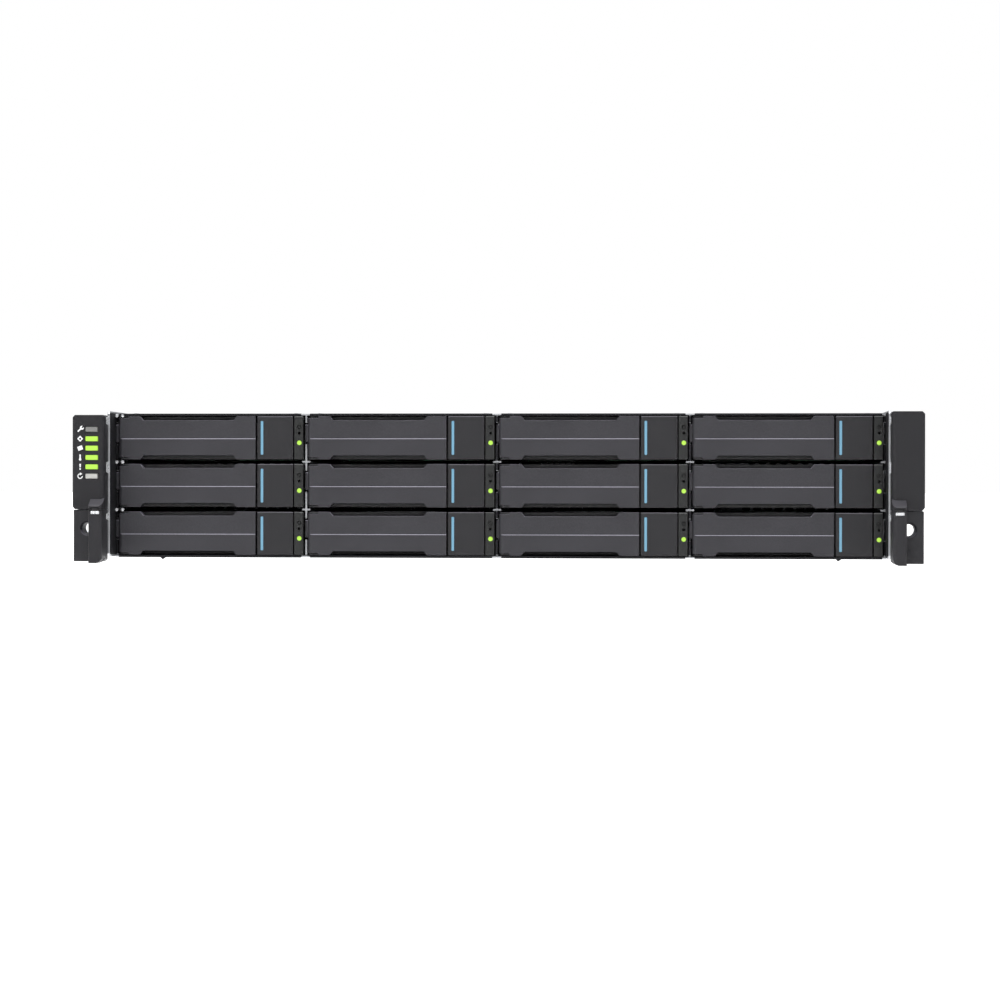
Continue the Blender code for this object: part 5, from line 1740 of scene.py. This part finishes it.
def ejector_solid():
    """A controller's pull lever, in its hinge's frame; it reaches to the left."""
    radius, tip = EJECTOR_RADIUS, -EJECTOR_LENGTH
    bar = prism([(tip, radius), (tip, -radius)] + arc((0.0, 0.0), radius, -90.0, 90.0, 10), "XY",
                -4.0, 4.0, 0.5, 2)
    tab = slab("XZ", (tip, -6.0), (tip + 20.0, 6.0), 2.0, 4, -radius, radius, 0.6, 2)
    cutters = [rod((0.0, 0.0, -6.0), "Z", 12.0, 1.3, 20)]
    for left, right in ((-94.0, -68.0), (-62.0, -36.0), (-30.0, -8.0)):
        cutters.append(slab("XZ", (left, -2.2), (right, 2.2), 1.0, 3, radius - 0.9, radius + 1.0))
    for index in range(4):
        x = tip + 4.2 + index * 3.6
        cutters.append(block((x, radius - 0.5, -4.4), (x + 1.5, radius + 1.0, 4.4)))
    return cut(fused(bar, tab), *cutters)


def make_controllers():
    pin = rod((EJECTOR_X, EJECTOR_Y, EJECTOR_Z - 6.2), "Z", 12.4, 1.2, 16, 0.2)
    pieces = finished((
        ("tray", canister_tray(), ZINC_STEEL, "zinc_steel"),
        ("rear_plate", canister_plate(), COVER_STEEL, "zinc_steel"),
        ("port_shells", port_shells(), BRIGHT_STEEL, "zinc_steel"),
        ("port_cores", port_cores(), CHIP_BLACK, "fan_black"),
        ("port_contacts", port_contacts(), CONTACT_BRASS, "zinc_steel"),
        ("lit_lenses", port_lights(True), LENS_GREEN, "lens_green"),
        ("dark_lenses", port_lights(False), LENS_OFF, "key_grey"),
        ("plate_marks", plate_marks(), LABEL_GREY, "ink_white"),
        ("plate_screws", plate_screws(), SCREW_STEEL, "zinc_steel"),
        ("reset_button", reset_button(), CHIP_BLACK, "fan_black"),
        ("board", canister_board(), BOARD_GREEN, "board_green"),
        ("heat_sink", heat_sink(), HEAT_ALLOY, "drive_alloy"),
        ("memory_boards", memory_boards(), BOARD_GREEN, "board_green"),
        ("memory_chips", memory_chips(), CHIP_BLACK, "fan_black"),
        ("memory_slots", memory_slots(), LABEL_GREY, "key_grey"),
        ("board_chips", board_chips(), CHIP_BLACK, "fan_black"),
        ("capacitors", board_capacitors(), HEAT_ALLOY, "zinc_steel"),
        ("cache_battery", cache_battery(), HANDLE_BLACK, "handle_black"),
        ("port_block", port_block(), CHIP_BLACK, "fan_black"),
        ("small_capacitors", small_parts(True), PART_TAN, "key_grey"),
        ("small_resistors", small_parts(False), CHIP_BLACK, "fan_black"),
        ("air_shroud", air_shroud(), CHIP_BLACK, "fan_black"),
        ("ejector_pin", pin, SCREW_STEEL, "zinc_steel"),
    ))
    ejector = mesh_of(ejector_solid(), HANDLE_BLACK)
    for level, low in CANISTER_LOWS.items():
        body = f"controller_{level}"
        for name, mesh, slot in pieces:
            replaced = (body,) if name == "tray" else ()
            put(f"{level}_controller_{name}", mesh, body, (0.0, 0.0, low), replaced)
        node = f"controller_ejector_{level}"
        hinge = (EJECTOR_X, EJECTOR_Y, low + EJECTOR_Z)
        put(f"{level}_ejector_lever", ejector, node, hinge, (node,))


# ---------------------------------------------------------------- power supplies
SUPPLY_X = 177.5
SUPPLY_HALF = 42.4
SUPPLY_LOW = 4.6
SUPPLY_HIGH = 84.4
SUPPLY_FRONT = EAR_FACE + 240.0
FAN_X = -15.0
FAN_Z = 56.0
FAN_RADIUS = 25.0
ROTOR_RADIUS = 23.0
ROTOR_BACK = REAR_FACE - 4.5
ROTOR_DEPTH = 12.0
HUB_RADIUS = 9.0
BLADES = 7
INLET_X = 26.0
INLET_Z = 68.0
BAIL_HALF = 36.0
BAIL_Y = REAR_FACE + 3.6
BAIL_Z = 27.0
LATCH_PLACE = (26.0, REAR_FACE + 0.3, 36.0)
LAMP_Z = 51.0
FAN_CORNERS = [(cos(angle * pi), sin(angle * pi)) for angle in (0.25, 0.75, 1.25, 1.75)]


def supply_case():
    """A power supply's folded case, with vents, seams, rings and roof ribs, and the bail's two lugs."""
    half, front, back = SUPPLY_HALF, SUPPLY_FRONT, REAR_FACE
    case = block((-half, front, SUPPLY_LOW), (half, back, SUPPLY_HIGH), 0.4, 2)
    hollow = block((1.0 - half, front + 1.0, SUPPLY_LOW + 1.0), (half - 1.0, back - 1.5, SUPPLY_HIGH - 1.0))
    low, high = (INLET_X - 13.6, INLET_Z - 9.85), (INLET_X + 13.6, INLET_Z + 9.85)
    cutters = [
        hollow,
        slab("XZ", low, high, 1.0, 2, 240.0, 256.0),
        rod((FAN_X, back - 3.0, FAN_Z), "Y", 5.0, FAN_RADIUS, 64),
        hex_field("XZ", (-29.0, 31.0), (29.0, 75.0), front - 1.0, front + 2.0, 7.0, 3.0),
        hex_field("XZ", (-37.0, 12.0), (8.0, 22.0), back - 3.0, back + 1.0, 5.0, 2.0),
    ]
    rings = []
    for side in SIDES:
        left, right = span(side, half + 1.0, half - 0.3)
        cutters.append(block((left, front + 6.0, 77.4), (right, back - 8.0, 78.0)))
        for y in (10.0, 70.0, 130.0, 190.0, 230.0):
            rings.append(hoop("X", (side * half, y, 81.2), 2.2, 1.7, -0.3, 0.6, 20))
    low, high = SUPPLY_HIGH - 0.1, SUPPLY_HIGH + 0.35
    ribs = []
    for x in (-26.0, 0.0, 26.0):
        ribs.append(slab("XY", (x - 3.0, 10.0), (x + 3.0, 214.0), 2.9, 5, low, high, 0.2, 2))
    case = fused(cut(case, *cutters, *rings), *ribs)
    outline = [(back - 0.2, BAIL_Z - 3.0), (back - 0.2, BAIL_Z + 3.0)]
    outline += arc((back + 3.0, BAIL_Z), 3.0, 90.0, -90.0, 8)
    lugs = [prism(outline, "YZ", *span(side, 38.3, 40.8), 0.2, 1) for side in SIDES]
    return fused(case, *lugs)


def circle(radius, count):
    return arc((0.0, 0.0), radius, 0.0, 360.0, count)[:-1]


def wire(points, radius, closed=False, sides=8):
    """A round wire along points."""
    bm = bmesh.new()
    rings = []
    total = len(points)
    for index, point in enumerate(points):
        before = Vector(points[index - 1] if closed or index else point)
        after = Vector(points[(index + 1) % total] if closed or index < total - 1 else point)
        along = (after - before).normalized()
        side = along.cross(Vector((0.0, 1.0, 0.0)))
        if side.length < 0.01:
            side = Vector((1.0, 0.0, 0.0))
        side.normalize()
        up = side.cross(along)
        ring = []
        for step in range(sides):
            angle = tau * step / sides
            ring.append(bm.verts.new(Vector(point) + side * radius * cos(angle) + up * radius * sin(angle)))
        rings.append(ring)
    for index in range(total if closed else total - 1):
        near, far = rings[index], rings[(index + 1) % total]
        for step in range(sides):
            after = (step + 1) % sides
            bm.faces.new((near[step], near[after], far[after], far[step]))
    if not closed:
        bm.faces.new(rings[0][::-1])
        bm.faces.new(rings[-1])
    return solid_from(bm)


def fan_guard():
    """The wire guard over a fan: rings on two crossed bars."""
    solids = []
    for radius in (7.0, 11.0, 14.75, 18.5, 22.0):
        ring = [(FAN_X + x, REAR_FACE - 0.5, FAN_Z + z) for x, z in circle(radius, 40)]
        solids.append(wire(ring, 0.55, closed=True))
    for x, z in FAN_CORNERS:
        ends = [(FAN_X + reach * x, REAR_FACE - 1.2, FAN_Z + reach * z) for reach in (6.0, 25.5)]
        solids.append(wire(ends, 0.6))
    return grouped(*solids)


def fan_screws():
    reach = 26.5
    places = [(FAN_X + reach * x, REAR_FACE - 0.1, FAN_Z + reach * z) for x, z in FAN_CORNERS]
    return grouped(*[screw(place, "Y", 2.0, 1.0) for place in places])


def fan_frame():
    """The fan's square housing behind the rear plate, with its motor's seat and three struts."""
    low, high = (FAN_X - 26.3, FAN_Z - 26.3), (FAN_X + 26.3, FAN_Z + 26.3)
    middle = (FAN_X, REAR_FACE, FAN_Z)
    body = slab("XZ", low, high, 3.0, 4, REAR_FACE - 26.0, REAR_FACE - 1.6, 0.5, 1)
    bore = [(25.6, 25.0), (24.6, -2.6), (24.2, -4.0), (24.2, -20.0), (25.4, -27.0)]
    body = cut(body, turned(bore, "Y", middle, 48))
    seat = turned([(0.0, -3.6), (8.6, -3.6), (9.2, -3.0), (9.2, -1.8), (0.0, -1.8)], "Y", middle, 40)
    struts = []
    for index in range(3):
        strut = block((8.0, REAR_FACE - 3.5, -0.9), (25.5, REAR_FACE - 2.0, 0.9), 0.3, 1)
        turn = Matrix.Rotation(tau * (index / 3 + 0.05), 4, "Y")
        strut.data.transform(Matrix.Translation((FAN_X, 0.0, FAN_Z)) @ turn)
        struts.append(strut)
    return grouped(body, seat, *struts)


def fan_blade():
    """A twisted blade with a curved section, from the hub outwards along X."""
    bm = bmesh.new()
    stations, chord_steps = 6, 6
    rings = []
    for station in range(stations + 1):
        share = station / stations
        reach = HUB_RADIUS - 0.6 + share * (ROTOR_RADIUS - HUB_RADIUS + 0.6)
        pitch = radians(50.0 - 20.0 * share)
        chord = 9.0 + 4.0 * share
        sweep = 2.0 * share * share
        ring = []
        for face in (1.0, -1.0):
            for step in range(chord_steps + 1):
                across_chord = step / chord_steps if face > 0 else 1.0 - step / chord_steps
                u = (across_chord - 0.5) * chord
                camber = 1.3 * (1.0 - (2.0 * across_chord - 1.0) ** 2)
                thick = 0.15 + 0.45 * (1.0 - (2.0 * across_chord - 1.0) ** 2)
                v = camber + face * thick
                y = -ROTOR_DEPTH / 2 + u * sin(pitch) + v * cos(pitch)
                z = u * cos(pitch) - v * sin(pitch) + sweep
                x = (max(reach * reach - z * z, 1.0)) ** 0.5
                ring.append(bm.verts.new((x, y, z)))
        rings.append(ring)
    count = len(rings[0])
    for near, far in zip(rings, rings[1:]):
        for step in range(count):
            after = (step + 1) % count
            bm.faces.new((near[step], near[after], far[after], far[step]))
    bm.faces.new(rings[0][::-1])
    bm.faces.new(rings[-1])
    return solid_from(bm)


def rotor_solid():
    """A fan's hub with its blades, in the rotor's frame."""
    radius, depth = HUB_RADIUS, ROTOR_DEPTH
    profile = [(0.0, -depth), (radius - 1.2, -depth), (radius, 1.2 - depth), (radius, -0.6)]
    profile += [(radius - 0.6, 0.0), (4.5, 0.0), (4.1, -0.4), (0.0, -0.4)]
    turns = [Matrix.Rotation(tau * index / BLADES, 4, "Y") for index in range(BLADES)]
    return grouped(turned(profile, "Y", sides=40), copies(fan_blade(), turns))


def rotor_badge():
    """A plain ring and a dot on the hub, which show that the fan turns."""
    ring = hoop("Y", (0.0, 0.0, 0.0), 6.6, 6.0, 0.0, 0.08, 32)
    return grouped(ring, rod((0.0, 0.0, 7.5), "Y", 0.08, 0.6, 12))


def inlet_outline(half_width, half_height, corner):
    """A mains inlet's opening: a rectangle with its two upper corners cut off."""
    left, right = INLET_X - half_width, INLET_X + half_width
    low, high = INLET_Z - half_height, INLET_Z + half_height
    outline = [(left, low), (right, low), (right, high - corner), (right - corner, high)]
    return [*outline, (left + corner, high), (left, high - corner)]


def inlet_solid():
    low, high = (INLET_X - 13.5, INLET_Z - 9.75), (INLET_X + 13.5, INLET_Z + 9.75)
    body = slab("XZ", low, high, 1.6, 4, REAR_FACE - 15.4, REAR_FACE + 1.2, 0.4, 2)
    opening = prism(inlet_outline(11.6, 7.9, 3.6), "XZ", REAR_FACE - 13.9, REAR_FACE + 3.0)
    core = prism(inlet_outline(8.3, 4.9, 2.0), "XZ", REAR_FACE - 14.5, REAR_FACE - 7.0, 0.4, 1)
    return fused(cut(body, opening), core)


def inlet_pins():
    pins = []
    for x, z in ((-7.0, -1.8), (0.0, 2.2), (7.0, -1.8)):
        middle = Vector((INLET_X + x, REAR_FACE - 3.9, INLET_Z + z))
        half = Vector((1.0, 4.1, 2.0))
        pins.append(block(middle - half, middle + half, 0.35, 2))
    return grouped(*pins)


def supply_innards():
    """What shows through a supply's vents: a board, transformers, capacitors and a cooler."""
    front = SUPPLY_FRONT + 8.0
    solids = [block((-40.9, SUPPLY_FRONT + 4.0, 6.0), (40.9, REAR_FACE - 27.0, 8.0), 0.2, 1)]
    parts = ((-36.0, 60.0, 44.0, 46.0, 52.0), (14.0, 20.0, 24.0, 60.0, 40.0))
    parts += ((-36.0, 118.0, 30.0, 40.0, 34.0), (0.0, 130.0, 34.0, 46.0, 46.0))
    for x, y, width, depth, tall in parts:
        solids.append(block((x, front + y, 7.9), (x + width, front + y + depth, 8.0 + tall), 1.2, 2))
    for x in (-26.0, -2.0):
        solids.append(cap("Z", (x, front + 24.0, 7.9), 11.0, 0.0, 44.0, 10.2, 45.0, 28))
    solids.append(block((-41.0, REAR_FACE - 60.0, 8.0), (41.0, REAR_FACE - 58.5, 83.0), 0.2, 1))
    return grouped(*solids)


def supply_card():
    return block((-20.0, SUPPLY_FRONT - 6.0, 14.0), (20.0, SUPPLY_FRONT + 0.4, 15.6), 0.2, 1)


def supply_card_contacts():
    front, back = SUPPLY_FRONT - 5.5, SUPPLY_FRONT - 0.5
    strips = []
    for index in range(14):
        x = -18.6 + index * 2.75
        strips.append(block((x, front, 13.94), (x + 1.7, back, 15.66), 0.03, 1))
    return grouped(*strips)


def supply_lamp(x):
    """A small domed lens in a supply's rear plate."""
    return cap("Y", (x, REAR_FACE, LAMP_Z), 1.4, -1.6, 0.1, 1.0, 0.3, 20, 0.34)


def supply_lamp_collars():
    """The collars round a supply's two lenses, and the lens that is unlit."""
    profile = [(2.2, -0.4), (2.2, 0.12), (1.5, 0.2), (1.5, -0.4), (2.2, -0.4)]
    collars = [turned(profile, "Y", (x, REAR_FACE, LAMP_Z), 20) for x in (INLET_X + 8.0, INLET_X)]
    return grouped(*collars, supply_lamp(INLET_X))


def supply_label():
    return slab("XZ", (14.0, 10.0), (38.0, 28.5), 1.0, 2, REAR_FACE - 0.02, REAR_FACE + 0.06)


def supply_label_ink():
    """Three rules and a warning bolt on a supply's rear label."""
    low, high = REAR_FACE + 0.05, REAR_FACE + 0.1
    rules = ((13.0, 35.5), (16.0, 35.5), (19.0, 28.0))
    marks = [block((16.5, low, z), (right, high, z + 0.6)) for z, right in rules]
    bolt = [(25.6, 27.2), (23.6, 24.2), (25.2, 24.2), (24.6, 21.8), (27.0, 25.1), (25.4, 25.1), (26.6, 27.2)]
    return grouped(*marks, prism(bolt, "XZ", low, high))


def supply_roof_label():
    return slab("XY", (-34.0, 222.0), (30.0, 243.0), 1.5, 3, SUPPLY_HIGH - 0.02, SUPPLY_HIGH + 0.08)


def supply_roof_ink():
    """Plain rules, bars and a warning triangle on a supply's roof label."""
    low, high = SUPPLY_HIGH + 0.07, SUPPLY_HIGH + 0.12
    marks = []
    for index in range(6):
        y, width = 225.0 + index * 3.0, (30.0, 24.0, 28.0)[index % 3]
        marks.append(block((-31.0, y, low), (-31.0 + width, y + 1.0, high)))
    sign = prism([(6.0, 226.0), (16.0, 226.0), (11.0, 235.0)], "XY", low, high)
    marks.append(cut(sign, prism([(7.6, 227.0), (14.4, 227.0), (11.0, 233.0)], "XY", low - 1.0, high + 1.0)))
    for index in range(8):
        x, width = 20.0 + index * 1.1, (0.4, 0.7)[index % 2]
        marks.append(block((x, 226.0, low), (x + width, 239.0, high)))
    return grouped(*marks)


def supply_screws():
    places = [(x, REAR_FACE - 0.05, z) for x in (-39.0, 39.0) for z in (8.0, 81.0)]
    return grouped(*[screw(place, "Y", 1.9, 0.9) for place in places])


def latch_solid():
    """The sprung tab that frees a supply, with ridges for a thumb."""
    plate = slab("XZ", (-9.0, -4.5), (9.0, 4.5), 1.2, 3, 0.0, 1.2, 0.25, 1)
    section = [(-7.0, 1.0), (7.0, 1.0), (7.0, 3.6), (5.6, 5.5), (3.0, 5.5)]
    section += arc((-1.4, 7.6), 4.2, -30.0, -110.0, 6) + [(-5.0, 5.5), (-7.0, 5.2)]
    tab = prism(section, "XY", -3.5, 3.5, 0.3, 2)
    ridges = [block((x, 5.0, -2.8), (x + 0.5, 5.55, 2.8), 0.1, 1) for x in (3.2, 4.3, 5.4)]
    return fused(plate, tab, *ridges)


def bail_points():
    left = [(-BAIL_HALF, 0.0, 0.0), (-BAIL_HALF, 0.0, -6.0)]
    left += [(x, 0.0, z) for x, z in arc((-BAIL_HALF + 5.0, -12.0), 5.0, 180.0, 270.0, 8)]
    return left + [(-x, y, z) for x, y, z in reversed(left)]


def bail_solid():
    """A supply's wire handle in its hinge's frame, with its ends turned outwards into the lugs."""
    solids = [wire(bail_points(), 1.9, sides=16)]
    for side, left in ((-1.0, -38.0), (1.0, 35.0)):
        solids.append(rod((left, 0.0, 0.0), "X", 3.0, 1.5, 16, 0.2))
        profile = [(1.9, -1.9), (1.99, 0.0), (1.7, 1.2), (0.0, 1.95)]
        solids.append(turned(profile, "Z", (side * BAIL_HALF, 0.0, 0.0), 16))
    return grouped(*solids)


def bail_sleeve():
    """The ribbed grip on a supply's handle."""
    profile = [(1.95, 0.0)]
    for index in range(16):
        x = index * 2.6
        profile += [(2.0, x + 0.2), (1.98, x + 1.9), (1.93, x + 2.1), (1.93, x + 2.5)]
    profile.append((1.95, 41.6))
    return turned(profile, "X", (-20.8, 0.0, -17.0), 20)


def make_supplies():
    pieces = finished((
        ("case", supply_case(), ZINC_STEEL, "zinc_steel"),
        ("fan_guard", fan_guard(), SCREW_STEEL, "zinc_steel"),
        ("fan_screws", fan_screws(), SCREW_STEEL, "zinc_steel"),
        ("fan_frame", fan_frame(), FAN_BLACK, "fan_black"),
        ("mains_inlet", inlet_solid(), CHIP_BLACK, "fan_black"),
        ("inlet_pins", inlet_pins(), BRIGHT_STEEL, "zinc_steel"),
        ("innards", supply_innards(), HANDLE_BLACK, "handle_black"),
        ("edge_card", supply_card(), BOARD_GREEN, "board_green"),
        ("edge_contacts", supply_card_contacts(), CONTACT_BRASS, "zinc_steel"),
        ("lit_lens", supply_lamp(INLET_X + 8.0), LENS_GREEN, "lens_green"),
        ("lens_collars", supply_lamp_collars(), KEY_GREY, "key_grey"),
        ("label", supply_label(), LABEL_WHITE, "ink_white"),
        ("label_marks", supply_label_ink(), LABEL_GREY, "ink_white"),
        ("screws", supply_screws(), SCREW_STEEL, "zinc_steel"),
        ("roof_label", supply_roof_label(), LABEL_WHITE, "ink_white"),
        ("roof_label_marks", supply_roof_ink(), LABEL_GREY, "ink_white"),
    ))
    hub, hinge = (FAN_X, ROTOR_BACK, FAN_Z), (0.0, BAIL_Y, BAIL_Z)
    moving = finished((
        ("rotor", rotor_solid(), FAN_BLACK, "fan_rotor", "fan_black", hub, True),
        ("rotor_badge", rotor_badge(), LABEL_GREY, "fan_rotor", "key_grey", hub, False),
        ("latch_tab", latch_solid(), LATCH_BLUE, "supply_latch", "latch_blue", LATCH_PLACE, True),
        ("bail_wire", bail_solid(), SCREW_STEEL, "supply_bail", "zinc_steel", hinge, True),
        ("bail_grip", bail_sleeve(), RUBBER_BLACK, "supply_bail", "handle_black", hinge, False),
    ))
    for name, side in (("left", -1.0), ("right", 1.0)):
        offset = Vector((side * SUPPLY_X, 0.0, 0.0))
        body = f"power_supply_{name}"
        for piece, mesh, slot in pieces:
            put(f"supply_{piece}_{name}", mesh, body, offset, (body,) if piece == "case" else ())
        for piece, mesh, part, slot, place, replacing in moving:
            node = f"{part}_{name}"
            replaced = (node,) if replacing else ()
            put(f"supply_{piece}_{name}", mesh, node, Vector(place) + offset, replaced)


make_sheet_metal()
make_midplane()
make_controllers()
make_supplies()

# ---------------------------------------------------------------- floor, lights and camera
def area_light(name, location, target, size, power, size_y=None):
    """A white lamp in metres and watts, square unless it has a second size."""
    data = bpy.data.lights.new(name, "AREA")
    data.energy = power
    data.size = size
    if size_y:
        data.shape = "RECTANGLE"
        data.size_y = size_y
    light = bpy.data.objects.new(name, data)
    light.location = location
    light.rotation_euler = (Vector(target) - Vector(location)).to_track_quat("-Z", "Y").to_euler()
    SCENE.collection.objects.link(light)


def make_stage():
    """A wide white floor just under the feet, a surround that is dim except to the camera, and lamps."""
    reach = 30000.0
    floor = turned([(0.0, 0.0), (reach / 3, 0.0), (reach, 0.0)], "Z", (0.0, 0.0, -0.3), 48)
    floor.name = "floor"
    mesh = floor.data
    mesh.transform(Matrix.Scale(MM, 4))
    mesh.materials.append(FLOOR_WHITE)
    world = bpy.data.worlds.new("studio")
    world.use_nodes = True
    tree = world.node_tree
    background = tree.nodes["Background"]
    background.inputs["Color"].default_value = (1.0, 1.0, 1.0, 1.0)
    rays = tree.nodes.new("ShaderNodeLightPath")
    strength = tree.nodes.new("ShaderNodeMapRange")
    strength.inputs["To Min"].default_value = 0.22
    strength.inputs["To Max"].default_value = 1.0
    tree.links.new(rays.outputs["Is Camera Ray"], strength.inputs["Value"])
    tree.links.new(strength.outputs["Result"], background.inputs["Strength"])
    SCENE.world = world
    area_light("key", (-0.25, -0.95, 1.55), (0.0, -0.22, 0.04), 1.5, 34.0, size_y=0.8)
    area_light("top", (0.0, 0.1, 1.7), (0.0, 0.1, 0.0), 1.6, 16.0)
    area_light("back", (0.4, 1.5, 1.2), (0.0, 0.2, 0.04), 1.4, 8.5)
    area_light("left", (-1.7, -0.1, 0.7), (-0.2, 0.0, 0.04), 0.9, 3.6)
    area_light("right", (1.7, 0.3, 0.7), (0.2, 0.0, 0.04), 0.9, 3.4)


def make_camera():
    """The camera 1.43 m in front, right of the middle and turned a little to the left."""
    sensor, focal_ratio = 36.0, 2.5435
    x, distance, height = 0.10276, 1.4319 - 0.006, 0.04257
    data = bpy.data.cameras.new("camera")
    data.sensor_width = sensor
    data.lens = sensor * focal_ratio
    data.clip_end = 200.0
    camera = bpy.data.objects.new("camera", data)
    yaw, pitch, roll = 0.0692, -0.0042, -0.0014
    forward = Vector((-sin(yaw) * cos(pitch), cos(yaw) * cos(pitch), sin(pitch)))
    right = forward.cross(Vector((0.0, 0.0, 1.0))).normalized()
    up = right.cross(forward)
    tilted_right = right * cos(roll) - up * sin(roll)
    tilted_up = right * sin(roll) + up * cos(roll)
    place = Matrix((tilted_right, tilted_up, -forward)).transposed().to_4x4()
    place.translation = (x, CAD_BOX[0][1] - distance, height)
    camera.matrix_world = place
    SCENE.collection.objects.link(camera)
    SCENE.camera = camera


make_stage()
make_camera()
SCENE.view_settings.view_transform = "Standard"
